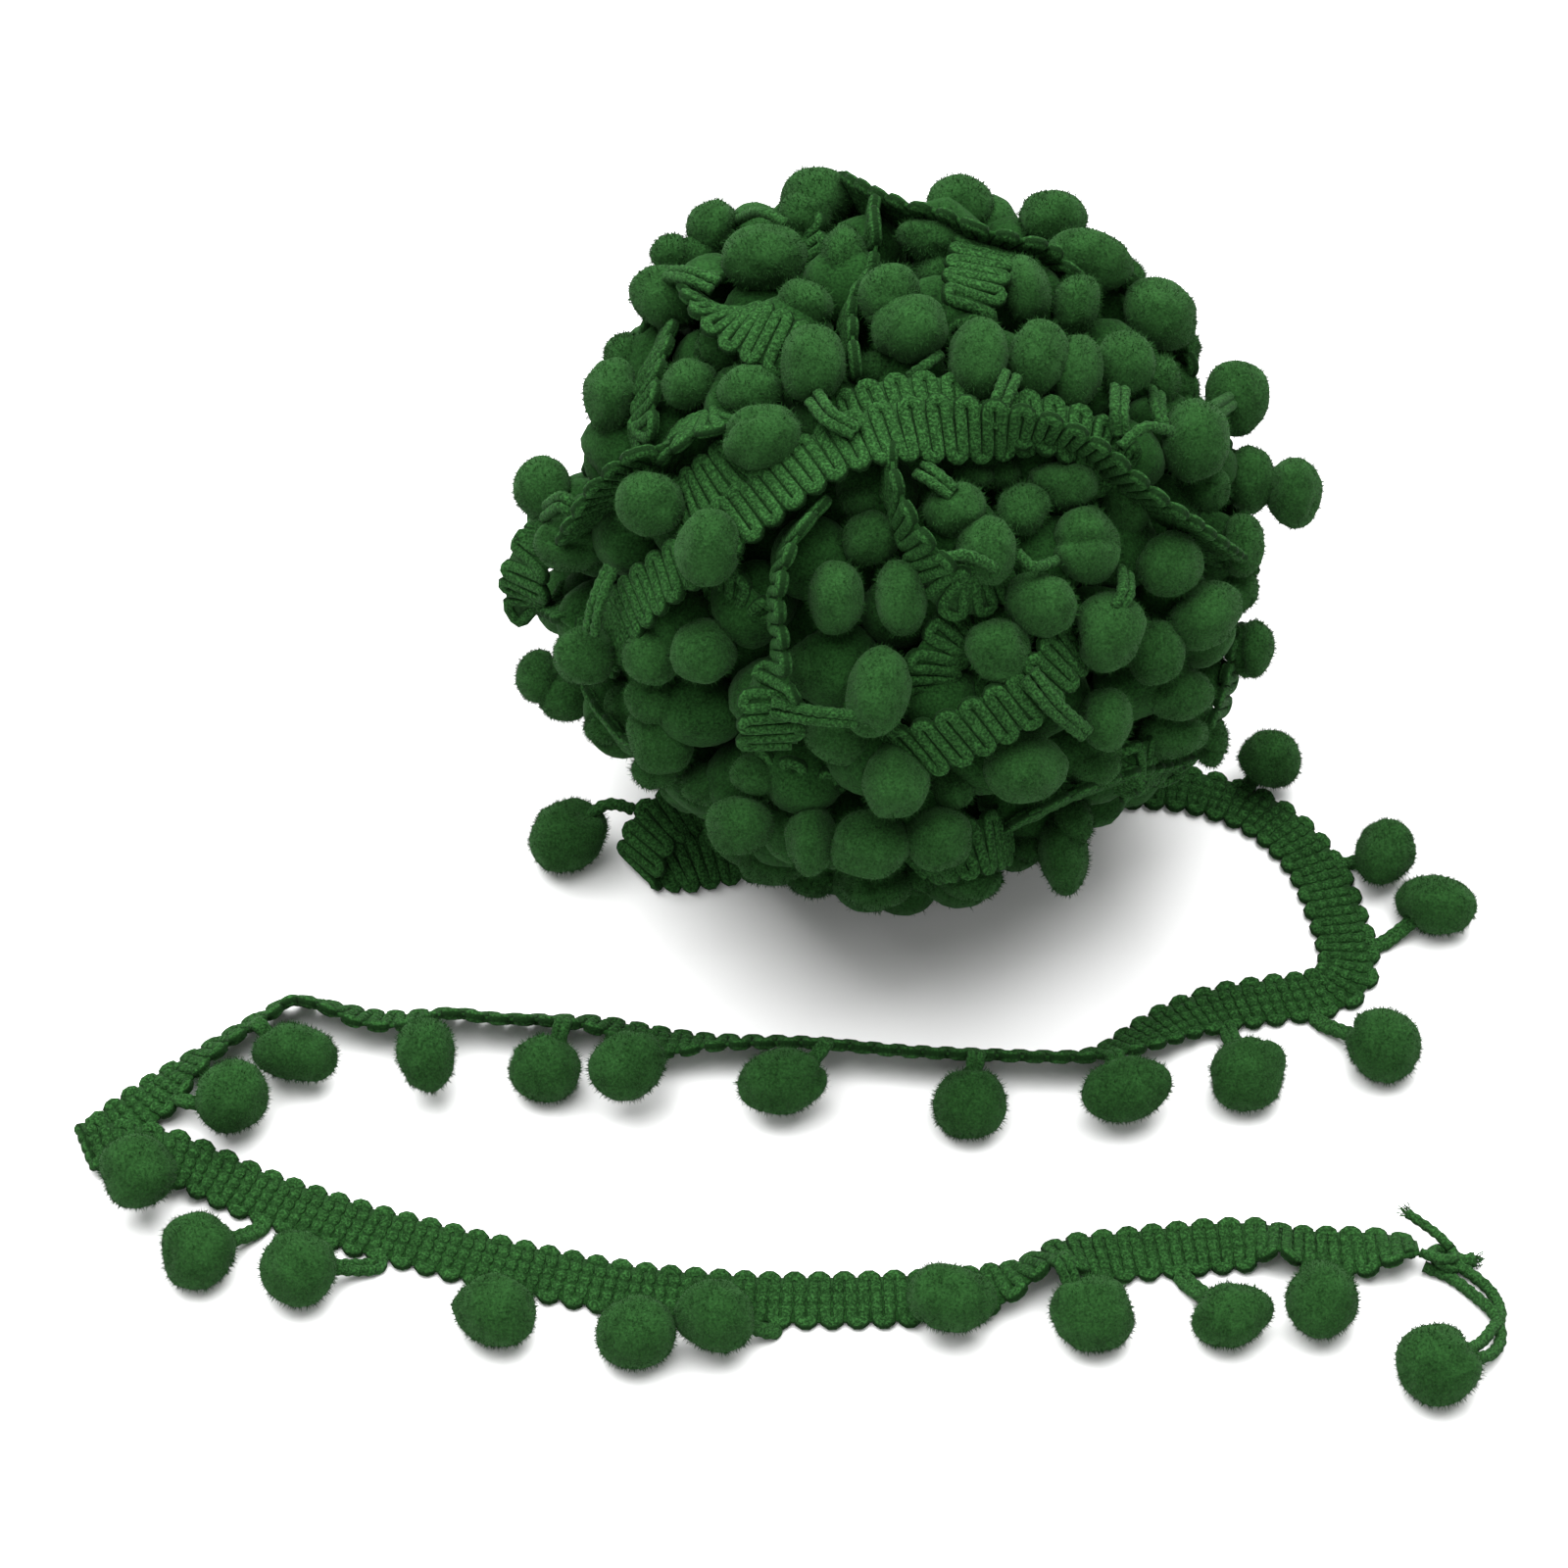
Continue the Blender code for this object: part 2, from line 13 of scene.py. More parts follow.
import bmesh
import bpy
import numpy as np
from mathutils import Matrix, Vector


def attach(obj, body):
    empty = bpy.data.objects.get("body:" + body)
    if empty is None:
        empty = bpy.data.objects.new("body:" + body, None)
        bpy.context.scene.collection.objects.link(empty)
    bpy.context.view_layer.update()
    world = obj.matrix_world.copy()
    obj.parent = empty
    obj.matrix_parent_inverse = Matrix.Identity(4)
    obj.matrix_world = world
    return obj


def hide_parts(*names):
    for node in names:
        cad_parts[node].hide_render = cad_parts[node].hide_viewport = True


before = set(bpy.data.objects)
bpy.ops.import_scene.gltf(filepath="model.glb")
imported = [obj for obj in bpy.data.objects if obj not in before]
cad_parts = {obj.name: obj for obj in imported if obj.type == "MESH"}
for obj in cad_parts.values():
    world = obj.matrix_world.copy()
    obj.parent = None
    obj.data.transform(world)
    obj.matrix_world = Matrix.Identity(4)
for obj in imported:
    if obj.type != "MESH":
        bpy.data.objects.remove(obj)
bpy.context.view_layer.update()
MM = 0.001
print("frame nodes:", sorted(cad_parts))

# %% [markdown]
# ## Camera
# Everything on the ball was placed where it shows in the photograph, so the camera comes
# first. It stands 650 mm away and looks down at 48 degrees through a long lens. With it, a place in the
# photograph becomes a line of sight, and the line meets the ball in one point.

# %% Camera


def in_scene(name, data):
    """A new object with this data, linked to the scene."""
    obj = bpy.data.objects.new(name, data)
    bpy.context.scene.collection.objects.link(obj)
    return obj


PHOTO_SIDE = 1600
FOCAL_PIXELS = 4095.0
SENSOR = 36.0
LOOK_DOWN = math.radians(48)
EYE_DISTANCE = 650.0
AIM = np.array((-16.3, 0.5, 0.0))
SCREEN_RIGHT = np.array((1.0, 0.0, 0.0))
SCREEN_UP = np.array((0.0, math.sin(LOOK_DOWN), math.cos(LOOK_DOWN)))
FORWARD = np.array((0.0, math.cos(LOOK_DOWN), -math.sin(LOOK_DOWN)))
EYE = AIM - FORWARD * EYE_DISTANCE

camera = in_scene("camera", bpy.data.cameras.new("camera"))
camera.data.sensor_width = SENSOR
camera.data.lens = FOCAL_PIXELS / PHOTO_SIDE * SENSOR
camera.location = Vector(EYE * MM)
camera.rotation_euler = (math.pi / 2 - LOOK_DOWN, 0, 0)
bpy.context.scene.camera = camera
print("lens:", round(camera.data.lens, 1), "mm")

# %% Places on the ball
BALL_CENTRE = np.array((0.0, 0.0, 54.0))


def unit(vector):
    return vector / np.linalg.norm(vector, axis=-1, keepdims=True)


def line_of_sight(px, py):
    half = PHOTO_SIDE / 2
    right = SCREEN_RIGHT * (px - half) / FOCAL_PIXELS
    return unit(FORWARD + right + SCREEN_UP * (half - py) / FOCAL_PIXELS)


def on_ball(px, py, out):
    """The point at this distance from the ball's centre that shows at this place in the photograph."""
    sight = line_of_sight(px, py)
    to_centre = BALL_CENTRE - EYE
    along = to_centre @ sight
    depth = out**2 - (to_centre @ to_centre - along**2)
    return EYE + sight * (along - math.sqrt(max(depth, 0)))


def over_table(px, py, height):
    """The point at this height above the table that shows at this place in the photograph."""
    sight = line_of_sight(px, py)
    return EYE + sight * (height - EYE[2]) / sight[2]


def size_at(place, pixels):
    """How many millimetres this many pixels of the photograph are at this place."""
    return pixels * ((place - EYE) @ FORWARD) / FOCAL_PIXELS


print("one millimetre at the ball's middle is", round(1 / size_at(BALL_CENTRE, 1), 2), "pixels")

# %% [markdown]
# ## One mesh from many shapes
# The trim has thousands of ribs and fibres. An object for each would be slow, so shapes are gathered in a
# heap as plain arrays of points, faces and UV places, and each heap becomes one mesh object.

# %% Heap of shapes


class Heap:
    """Points, faces, UV places and painted pinch shade amounts of many shapes that share one object."""

    def __init__(self):
        self.points = []
        self.pinch_shades = []
        self.faces = []
        self.places = []
        self.count = 0

    def add(self, points, faces, places, pinch=0.0):
        self.points.append(points)
        self.pinch_shades.append(np.broadcast_to(pinch, len(points)))
        self.faces.append(faces + self.count)
        self.places.append(places)
        self.count += len(points)

    def make(self, name, material):
        points = np.concatenate(self.points) * MM
        faces = np.concatenate(self.faces)
        corners = faces.shape[1]
        mesh = bpy.data.meshes.new(name)
        mesh.vertices.add(len(points))
        mesh.vertices.foreach_set("co", points.astype(np.float32).ravel())
        mesh.loops.add(faces.size)
        mesh.loops.foreach_set("vertex_index", faces.astype(np.int32).ravel())
        mesh.polygons.add(len(faces))
        mesh.polygons.foreach_set("loop_start", np.arange(0, faces.size, corners, dtype=np.int32))
        uv_map = mesh.uv_layers.new(name="yarn")
        uv_map.uv.foreach_set("vector", np.concatenate(self.places).astype(np.float32).ravel())
        # The pinch attribute carries painted shade: how much the yarn's colour is darkened where chains
        # pinch it.
        pinch_shades = mesh.attributes.new("pinch", "FLOAT", "POINT")
        pinch_shades.data.foreach_set("value", np.concatenate(self.pinch_shades).astype(np.float32))
        mesh.update(calc_edges=True)
        mesh.shade_smooth()
        obj = in_scene(name, mesh)
        mesh.materials.append(material)
        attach(obj, "root")
        print(f"{name}: {len(faces) * (corners - 2)} triangles")
        return obj


# %% [markdown]
# ## Felt and yarn
# Both are matt polyester dyed bottle green. Up close the felt is a pile of fine crimped fibres, so its
# colour is mottled at a quarter of a millimetre and cloudy at a few millimetres. The yarn is a chain
# knitted from many filaments: small slanting stitches run along it and catch the light as a speckle.
# Each effect is a node group with named inputs, so that every material can set its own values.

# %% Node helpers


def new_group(name, inputs, outputs):
    """A shader node group with only its sockets: name, type and, for inputs, the first value.

    Gives the group, the sockets of what it is given and the sockets of its results.
    """
    group = bpy.data.node_groups.new(name, "ShaderNodeTree")
    for label, kind, value in inputs:
        socket = group.interface.new_socket(name=label, in_out="INPUT", socket_type=kind)
        if value is not None:
            socket.default_value = value
    for label, kind in outputs:
        group.interface.new_socket(name=label, in_out="OUTPUT", socket_type=kind)
    given = group.nodes.new("NodeGroupInput").outputs
    results = group.nodes.new("NodeGroupOutput").inputs
    return group, given, results


def add_node(tree, kind, **settings):
    node = tree.nodes.new(kind)
    for key, value in settings.items():
        setattr(node, key, value)
    return node


def set_inputs(node, values):
    for label, value in values.items():
        node.inputs[label].default_value = value


def maths_in(tree):
    """A function that adds a Math node to the tree, fed by sockets or numbers, and gives its output."""

    def calc(operation, first, second=None):
        node = add_node(tree, "ShaderNodeMath", operation=operation)
        for socket, value in zip(node.inputs, (first, second)):
            if isinstance(value, (int, float)):
                socket.default_value = value
            elif value is not None:
                tree.links.new(value, socket)
        return node.outputs[0]

    return calc


def noise(tree, coordinate, scale, detail, roughness=0.5):
    node = add_node(tree, "ShaderNodeTexNoise")
    set_inputs(node, {"Detail": detail, "Roughness": roughness})
    tree.links.new(coordinate, node.inputs["Vector"])
    tree.links.new(scale, node.inputs["Scale"])
    return node.outputs["Fac"]


def blend_colours(tree, factor, first, second):
    node = add_node(tree, "ShaderNodeMix", data_type="RGBA")
    tree.links.new(factor, node.inputs[0])
    tree.links.new(first, node.inputs[6])
    tree.links.new(second, node.inputs[7])
    return node.outputs[2]


# %% Dye group
FLOAT = "NodeSocketFloat"
COLOUR = "NodeSocketColor"
VECTOR = "NodeSocketVector"

dye_group, given, results = new_group(
    "dye_clouds",
    (("Coordinate", VECTOR, None), ("Cloud Scale", FLOAT, 250.0), ("Contrast", FLOAT, 1.6)),
    (("Mask", FLOAT),),
)
calc = maths_in(dye_group)
clouds = noise(dye_group, given["Coordinate"], given["Cloud Scale"], detail=3.0)
spread = calc("MULTIPLY", calc("SUBTRACT", clouds, 0.5), given["Contrast"])
mask = calc("ADD", spread, 0.5)
mask.node.use_clamp = True
dye_group.links.new(mask, results["Mask"])
print("dye_clouds:", len(dye_group.nodes), "nodes")

# %% Felt group
FINE_SHARE = 0.85
FELT_CONTRAST = 3.4
CLOUD_LIFT = 0.6
FELT_BASE = 0.2

felt_group, given, results = new_group(
    "felt_pile",
    (
        ("Coordinate", VECTOR, None), ("Pile Scale", FLOAT, 2600.0), ("Tuft Scale", FLOAT, 420.0),
        ("Deep", COLOUR, (0.01, 0.05, 0.01, 1)), ("Lit", COLOUR, (0.04, 0.16, 0.04, 1)),
        ("Clouds", FLOAT, 0.5),
    ),
    (("Color", COLOUR), ("Height", FLOAT)),
)
calc = maths_in(felt_group)
pile = noise(felt_group, given["Coordinate"], given["Pile Scale"], detail=4.0, roughness=0.7)
tufts = noise(felt_group, given["Coordinate"], given["Tuft Scale"], detail=2.0, roughness=0.6)
fine_part = calc("MULTIPLY", pile, FINE_SHARE)
height = calc("ADD", fine_part, calc("MULTIPLY", tufts, 0.15))
contrast = calc("MULTIPLY", calc("SUBTRACT", height, 0.5), FELT_CONTRAST)
level = calc("ADD", contrast, calc("MULTIPLY", given["Clouds"], CLOUD_LIFT))
shade = calc("ADD", level, FELT_BASE)
shade.node.use_clamp = True
felt_colour = blend_colours(felt_group, shade, given["Deep"], given["Lit"])
felt_group.links.new(felt_colour, results["Color"])
felt_group.links.new(height, results["Height"])
print("felt_pile:", len(felt_group.nodes), "nodes")

# %% [markdown]
# The stitches of the yarn are drawn from its UV map, in which U counts yarn diameters along it and V goes
# once round it. Where U is shifted by the distance from the middle of a column of stitches, straight
# waves become the chevrons of a knitted chain. Bulked filaments hide most of them under a bright speckle,
# and the sides, where the yarn lies against the next rib, are darkened with painted shade; so are the
# spots where the chains pinch it.

# %% Knit group
STITCH_COLUMNS = 4.0
STITCHES = 3.1
STITCH_SLANT = 0.45
PINCH_SHADE_STRENGTH = 1.4
SPECKLE_FROM = 0.41
SPECKLE_CONTRAST = 4.6
SIDE_SHADE_FROM = 0.80
SIDE_SHADE_CONTRAST = 7.0

knit_group, given, results = new_group(
    "knitted_yarn",
    (
        ("Yarn Place", VECTOR, None), ("Coordinate", VECTOR, None), ("Filament Scale", FLOAT, 2400.0),
        ("Warp", FLOAT, 0.45), ("Groove Shade", FLOAT, 0.92), ("Clouds", FLOAT, 0.5), ("Pinch Shade", FLOAT, 0.0),
        ("Deep", COLOUR, (0.01, 0.05, 0.01, 1)), ("Lit", COLOUR, (0.06, 0.22, 0.06, 1)),
    ),
    (("Color", COLOUR), ("Height", FLOAT)),
)
calc = maths_in(knit_group)
split = add_node(knit_group, "ShaderNodeSeparateXYZ")
knit_group.links.new(given["Yarn Place"], split.inputs[0])
filaments = noise(knit_group, given["Coordinate"], given["Filament Scale"], detail=3.0, roughness=0.65)
column = calc("FRACT", calc("MULTIPLY", split.outputs["Y"], STITCH_COLUMNS))
off_middle = calc("ABSOLUTE", calc("SUBTRACT", column, 0.5))
slant = calc("MULTIPLY", off_middle, STITCH_SLANT)
uneven = calc("MULTIPLY", calc("SUBTRACT", filaments, 0.5), given["Warp"])
shifted = calc("ADD", calc("ADD", split.outputs["X"], slant), uneven)
run = calc("MULTIPLY", shifted, STITCHES * math.tau)
stitch = calc("ADD", calc("MULTIPLY", calc("SINE", run), 0.5), 0.5)
rounding = calc("SUBTRACT", 1.0, calc("MULTIPLY", off_middle, 1.2))
stitch_height = calc("MULTIPLY", calc("MULTIPLY", stitch, rounding), 0.18)
speckle = calc("MULTIPLY", calc("SUBTRACT", filaments, SPECKLE_FROM), SPECKLE_CONTRAST)
speckle.node.use_clamp = True
height = calc("ADD", stitch_height, calc("MULTIPLY", speckle, 0.8))
level = calc("SUBTRACT", height, 0.05)
lit_level = calc("ADD", level, calc("MULTIPLY", given["Clouds"], 0.25))
# Painted shade: the colour is darkened on the yarn's sides, where it lies against the next rib.
sideways = calc("ABSOLUTE", calc("COSINE", calc("MULTIPLY", split.outputs["Y"], math.tau)))
side_shade = calc("MULTIPLY", calc("SUBTRACT", sideways, SIDE_SHADE_FROM), SIDE_SHADE_CONTRAST)
side_shade.node.use_clamp = True
after_side_shade = calc("SUBTRACT", 1.0, calc("MULTIPLY", side_shade, given["Groove Shade"]))
# Painted shade: the colour is darkened where the chains pinch the yarn.
after_pinch_shade = calc("SUBTRACT", 1.0, calc("MULTIPLY", given["Pinch Shade"], PINCH_SHADE_STRENGTH))
shade = calc("MULTIPLY", calc("MULTIPLY", lit_level, after_side_shade), after_pinch_shade)
shade.node.use_clamp = True
knit_colour = blend_colours(knit_group, shade, given["Deep"], given["Lit"])
knit_group.links.new(knit_colour, results["Color"])
knit_group.links.new(height, results["Height"])
print("knitted_yarn:", len(knit_group.nodes), "nodes")

# %% Materials
SPECULAR = 0.05
SHEEN_ROUGHNESS = 0.45
SHEEN_TINT = (0.40, 0.75, 0.38, 1)


def cloth_material(name, group, values, cloud_scale, relief, roughness, sheen):
    """A matt cloth: its dye clouds and its pile or knit groups feed colour and relief."""
    material = bpy.data.materials.new(name)
    material.use_nodes = True
    tree = material.node_tree
    shader = tree.nodes["Principled BSDF"]
    where = add_node(tree, "ShaderNodeTexCoord")
    clouds = add_node(tree, "ShaderNodeGroup", node_tree=dye_group)
    clouds.inputs["Cloud Scale"].default_value = cloud_scale
    tree.links.new(where.outputs["Object"], clouds.inputs["Coordinate"])
    surface = add_node(tree, "ShaderNodeGroup", node_tree=group)
    tree.links.new(where.outputs["Object"], surface.inputs["Coordinate"])
    if "Yarn Place" in surface.inputs:
        tree.links.new(where.outputs["UV"], surface.inputs["Yarn Place"])
        # The pinch attribute feeds the painted pinch shade.
        pinched = add_node(tree, "ShaderNodeAttribute")
        pinched.attribute_name = "pinch"
        tree.links.new(pinched.outputs["Fac"], surface.inputs["Pinch Shade"])
    tree.links.new(clouds.outputs["Mask"], surface.inputs["Clouds"])
    set_inputs(surface, values)
    bump = add_node(tree, "ShaderNodeBump")
    set_inputs(bump, {"Distance": relief * MM, "Strength": 1.0})
    tree.links.new(surface.outputs["Height"], bump.inputs["Height"])
    tree.links.new(surface.outputs["Color"], shader.inputs["Base Color"])
    tree.links.new(bump.outputs["Normal"], shader.inputs["Normal"])
    set_inputs(shader, {"Roughness": roughness, "Specular IOR Level": SPECULAR, "Sheen Weight": sheen})
    set_inputs(shader, {"Sheen Roughness": SHEEN_ROUGHNESS, "Sheen Tint": SHEEN_TINT})
    return material


felt = cloth_material(
    "bottle_green_felt", felt_group,
    {"Deep": (0.0058, 0.0240, 0.0048, 1), "Lit": (0.0200, 0.074, 0.0172, 1)},
    cloud_scale=260.0, relief=0.26, roughness=0.95, sheen=0.09,
)
YARN_DYES = {"Deep": (0.0042, 0.0180, 0.0036, 1), "Lit": (0.0290, 0.106, 0.0250, 1)}
yarn = cloth_material(
    "bottle_green_yarn", knit_group, YARN_DYES,
    cloud_scale=180.0, relief=0.16, roughness=0.9, sheen=0.02,
)
# The cords get only a little of the painted side shade.
cord_yarn = cloth_material(
    "bottle_green_cord", knit_group,
    {**YARN_DYES, "Groove Shade": 0.2, "Filament Scale": 2600.0},
    cloud_scale=180.0, relief=0.16, roughness=0.9, sheen=0.06,
)
# Painted shade: a darker copy of the felt, for the buried layer, the heart and the chain strips, where shade
# falls.
shade_darkened_felt = cloth_material(
    "shade_darkened_felt", felt_group,
    {"Deep": (0.0034, 0.015, 0.0029, 1), "Lit": (0.0150, 0.062, 0.0128, 1)},
    cloud_scale=260.0, relief=0.20, roughness=0.95, sheen=0.08,
)
print("materials:", felt.name, yarn.name, cord_yarn.name, shade_darkened_felt.name)

# %% [markdown]
# ## Yarn
# A yarn is a tube with an oval section that follows a line. Blender's curves could do this with a bevel,
# but their twist can't be told to follow the tape's face, so the rings are laid here: at each point the
# line's direction and the face's direction give the plane of the ring.

# %% Yarn tube
YARN = 1.9
PLY_TURN = 0.85
SIDES = 8
CAP = np.array(((0, 1, 2, 3), (0, 3, 4, 7), (4, 5, 6, 7)))
LINE_STEP = 0.8


def run_along(line):
    """How far along the line each of its points is."""
    return np.concatenate(([0], np.cumsum(np.linalg.norm(np.diff(line, axis=0), axis=1))))


def heading(line):
    return unit(np.gradient(line, axis=0))


def wall(count, sides):
    """Rows, columns and corners of the faces between rings of so many sides."""
    row, col = np.meshgrid(np.arange(count - 1), np.arange(sides), indexing="ij")
    here = row * sides
    ahead = (col + 1) % sides
    faces = np.stack((here + col, here + ahead, here + sides + ahead, here + sides + col), -1)
    return row, col, faces.reshape(-1, 4)


def lay_yarn(heap, line, face, wide, thick, ply=0.0, held=0.0):
    """Adds a tube along the line; wide and thick are its half sizes across and along the face direction.

    Ply is how deep the two plies of a twisted cord show, and held is how hard chains pinch the yarn.
    Here held only sets the painted shade that darkens the pinches.
    """
    count = len(line)
    run = run_along(line) / YARN
    along = heading(line)
    side = unit(np.cross(along, face))
    lift = np.cross(side, along)
    angle = np.arange(SIDES) * math.tau / SIDES
    bulge = 1 + ply * np.cos(2 * angle - (run * math.tau / PLY_TURN)[:, None])
    ring = side[:, None] * (np.cos(angle) * bulge * wide[:, None])[..., None]
    ring = ring + lift[:, None] * (np.sin(angle) * bulge * thick[:, None])[..., None]
    points = (line[:, None] + ring).reshape(-1, 3)
    row, col, faces = wall(count, SIDES)
    u = np.stack((run[row], run[row], run[row + 1], run[row + 1]), -1)
    v = np.stack((col, col + 1, col + 1, col), -1) / SIDES
    places = np.stack((u, v), -1).reshape(-1, 4, 2)
    end = (count - 1) * SIDES
    faces = np.concatenate((faces, CAP[:, ::-1], CAP + end))
    places = np.concatenate((places, np.zeros((6, 4, 2))))
    pinch = np.repeat(np.broadcast_to(held, count), SIDES)
    heap.add(points, faces[:, ::-1], places[:, ::-1], pinch)


def smooth_line(marks, step):
    """Points about one step apart on a smooth curve through the marks, of any number of columns."""
    marks = np.array(marks, float)
    ends = np.concatenate(([2 * marks[0] - marks[1]], marks, [2 * marks[-1] - marks[-2]]))
    rows = []
    for a, b, c, d in zip(ends, ends[1:], ends[2:], ends[3:]):
        count = max(1, round(np.linalg.norm((c - b)[:3]) / step))
        t = (np.arange(count) / count)[:, None]
        bend = (2 * a - 5 * b + 4 * c - d) * t**2
        rows.append(0.5 * (2 * b + (c - a) * t + bend + (3 * b - a - 3 * c + d) * t**3))
    return np.concatenate(rows + [marks[-1:]])


CORD = 1.6
CORD_PLY = 0.13


def lay_cord(heap, marks, face, thickness=CORD):
    line = smooth_line(marks, 0.45)
    half = np.full(len(line), thickness / 2)
    lay_yarn(heap, line, np.tile(np.array(face, float), (len(line), 1)), half, half, CORD_PLY)


# %% [markdown]
# ## Tape
# The tape is one yarn laid back and forth. Two ribs and the turn between them make a scallop at the edge.
# Four lengthwise chains hold the ribs; on the back of the tape they pinch each rib into small cushions,
# and on the front the ribs stay round. A tape is described by its middle line, the direction across it
# and its length so far, and the yarn's zigzag is drawn flat first and then laid on that.

# %% Tape
TAPE_WIDTH = 10.0
RIB_PITCH = 1.85
TURN_BULGE = 1.12
TURN_SQUARE = 0.8
CHAIN_PLACES = np.array((-2.85, -0.95, 0.95, 2.85))
CHAIN_HALF = 0.34
BALL_PINCH = 0.06
FEW_STEPS = 7
MANY_STEPS = 13


def zigzag(length, across_steps, slant):
    """The yarn's middle line on the flat tape: places along and across, in millimetres."""
    reach = TAPE_WIDTH / 2 - YARN / 2 - RIB_PITCH / 2 * TURN_BULGE
    straight = np.linspace(-reach, reach, across_steps)
    bend = np.linspace(0, math.pi, 6)[1:-1]
    forward = RIB_PITCH / 2 * (1 - np.sign(np.cos(bend)) * np.abs(np.cos(bend)) ** TURN_SQUARE)
    outward = RIB_PITCH / 2 * TURN_BULGE * np.sin(bend) ** TURN_SQUARE
    along = []
    across = []
    for i in range(int(length / RIB_PITCH)):
        way = 1 if i % 2 == 0 else -1
        here = (i + 0.5) * RIB_PITCH
        along += [np.full(across_steps, here), here + forward]
        across += [straight * way, way * (reach + outward)]
    along = np.concatenate(along[:-1])
    across = np.concatenate(across[:-1])
    return np.clip(along + across * slant, 0, length), across


def follow(places, run, wanted):
    """Each column of places read at the wanted distances along the run."""
    return np.stack([np.interp(wanted, run, column) for column in places.T], -1)


def weave_tape(heap, middle, way, pinch=0.0, across_steps=9, slant=0.0):
    """Lays the zigzag yarn on a tape given by its middle line and its direction across."""
    run = run_along(middle)
    face = unit(np.cross(heading(middle), way))
    along, across = zigzag(run[-1], across_steps, slant)
    line = follow(middle, run, along) + unit(follow(way, run, along)) * across[:, None]
    pinched = np.exp(-(((across[:, None] - CHAIN_PLACES) / CHAIN_HALF) ** 2)).sum(1)
    held = np.interp(along, run, np.broadcast_to(pinch, run.shape)) * pinched
    wide = RIB_PITCH / 2 * (1.08 - 0.9 * held)
    thick = YARN / 2 * (0.98 - 0.9 * held)
    # held narrows the yarn at the chains and also sets the painted shade there.
    lay_yarn(heap, line, unit(follow(face, run, along)), wide, thick, held=held)
    return run[-1]


# %% [markdown]
# ## Pompoms
# A pompom is a tuft of fibres, tied in the middle by its cord, trimmed to a ball and felted. None is
# round: they are pressed flat by their neighbours, dented where the cord goes in, and some show the
# groove of the tie. Each starts as an icosphere whose points are moved by a few broad waves and soft
# flats, and short fibres stand out of it, because against the light a pompom's edge is a fine fuzz.

# %% Pompom shapes


def sphere_net(level):
    """Directions and triangles of an icosphere."""
    net = bmesh.new()
    bmesh.ops.create_icosphere(net, subdivisions=level, radius=1)
    directions = np.array([v.co for v in net.verts])
    faces = np.array([[v.index for v in f.verts] for f in net.faces])
    net.free()
    return unit(directions), faces


FINE_NET = sphere_net(4)
PLAIN_NET = sphere_net(3)
ABOVE_TABLE = 0.02


WAVE_SETS = ((1.7, 0.036, 5), (4.0, 0.010, 5), (11.0, 0.004, 8))


def pompom_form(draw, dent, groove):
    """A function that gives the pompom's radius, about 1, in any directions."""
    waves = []
    for closeness, strength, count in WAVE_SETS:
        for _ in range(count):
            waves.append((draw.normal(size=3) * closeness, draw.uniform(0, math.tau), strength))
    flats = [(unit(draw.normal(size=3)), draw.uniform(0.90, 0.98)) for _ in range(3)]
    tie = unit(np.cross(dent, draw.normal(size=3)))

    def radius(directions):
        size = np.ones(len(directions))
        for wave, start, strength in waves:
            size = size + strength * np.cos(directions @ wave + start)
        for towards, edge in flats:
            facing = np.maximum(directions @ towards, 1e-3)
            over = np.maximum(size * facing - edge, 0)
            size = size - over * 0.75 / facing
        near = directions @ dent
        size = size - 0.20 * np.exp(-((1 - near) / 0.07))
        size = size - groove * np.exp(-((directions @ tie / 0.13) ** 2)) * np.clip(near + 0.3, 0, 1)
        return size

    return radius


def add_pompom(heap, draw, middle, axes, dent, net=FINE_NET, fibres=0, groove=0.0):
    """Adds one pompom. Axes are its three half sizes as vectors; dent is where its cord goes in."""
    directions, faces = net
    inner_dent = unit(np.linalg.solve(axes.T, dent))
    form = pompom_form(draw, inner_dent, groove)
    points = middle + (directions * form(directions)[:, None]) @ axes
    points[:, 2] = np.maximum(points[:, 2], ABOVE_TABLE)
    heap.add(points, faces, np.zeros((len(faces), 3, 2)))
    if fibres:
        add_fibres(heap, draw, middle, axes, form, fibres)


FIBRE_LONG = (0.35, 1.05)
FIBRE_HALF = 0.08
FIBRE_DEEP = 0.2
FIBRE_LEAN = 0.8


def add_fibres(heap, draw, middle, axes, form, count):
    """Thin slivers that are rooted under the felt and lean over it."""
    start = unit(draw.normal(size=(count, 3)))
    root = middle + (start * form(start)[:, None]) @ axes
    out = unit(start @ np.linalg.inv(axes).T)
    lean = unit(out + draw.normal(size=(count, 3)) * FIBRE_LEAN)
    long = draw.uniform(*FIBRE_LONG, size=(count, 1))
    side = unit(np.cross(lean, draw.normal(size=(count, 3)))) * FIBRE_HALF
    low = root - out * FIBRE_DEEP
    points = np.stack((low - side, low + side, root + lean * long), 1).reshape(-1, 3)
    points[:, 2] = np.maximum(points[:, 2], ABOVE_TABLE)
    faces = np.arange(count * 3).reshape(-1, 3)
    heap.add(points, faces, np.zeros((count, 3, 2)))


def screen_axes(wide, tall, deep, turn):
    """Half sizes as the viewer sees them, turned counterclockwise by so many degrees."""
    angle = math.radians(turn)
    first = SCREEN_RIGHT * math.cos(angle) + SCREEN_UP * math.sin(angle)
    second = SCREEN_UP * math.cos(angle) - SCREEN_RIGHT * math.sin(angle)
    return np.stack((first * wide / 2, second * tall / 2, -FORWARD * deep / 2))


print("pompom nets:", len(FINE_NET[1]), "and", len(PLAIN_NET[1]), "triangles")

# %% [markdown]
# ## Ball: the pompoms that show
# Each row is a pompom as it shows in the photograph: where its middle is, how wide and tall it is, how
# far it is turned, and how far from the ball's centre it lies, because that decides which one covers
# which. The rows go region by region, from the upper left of the ball to its foot.

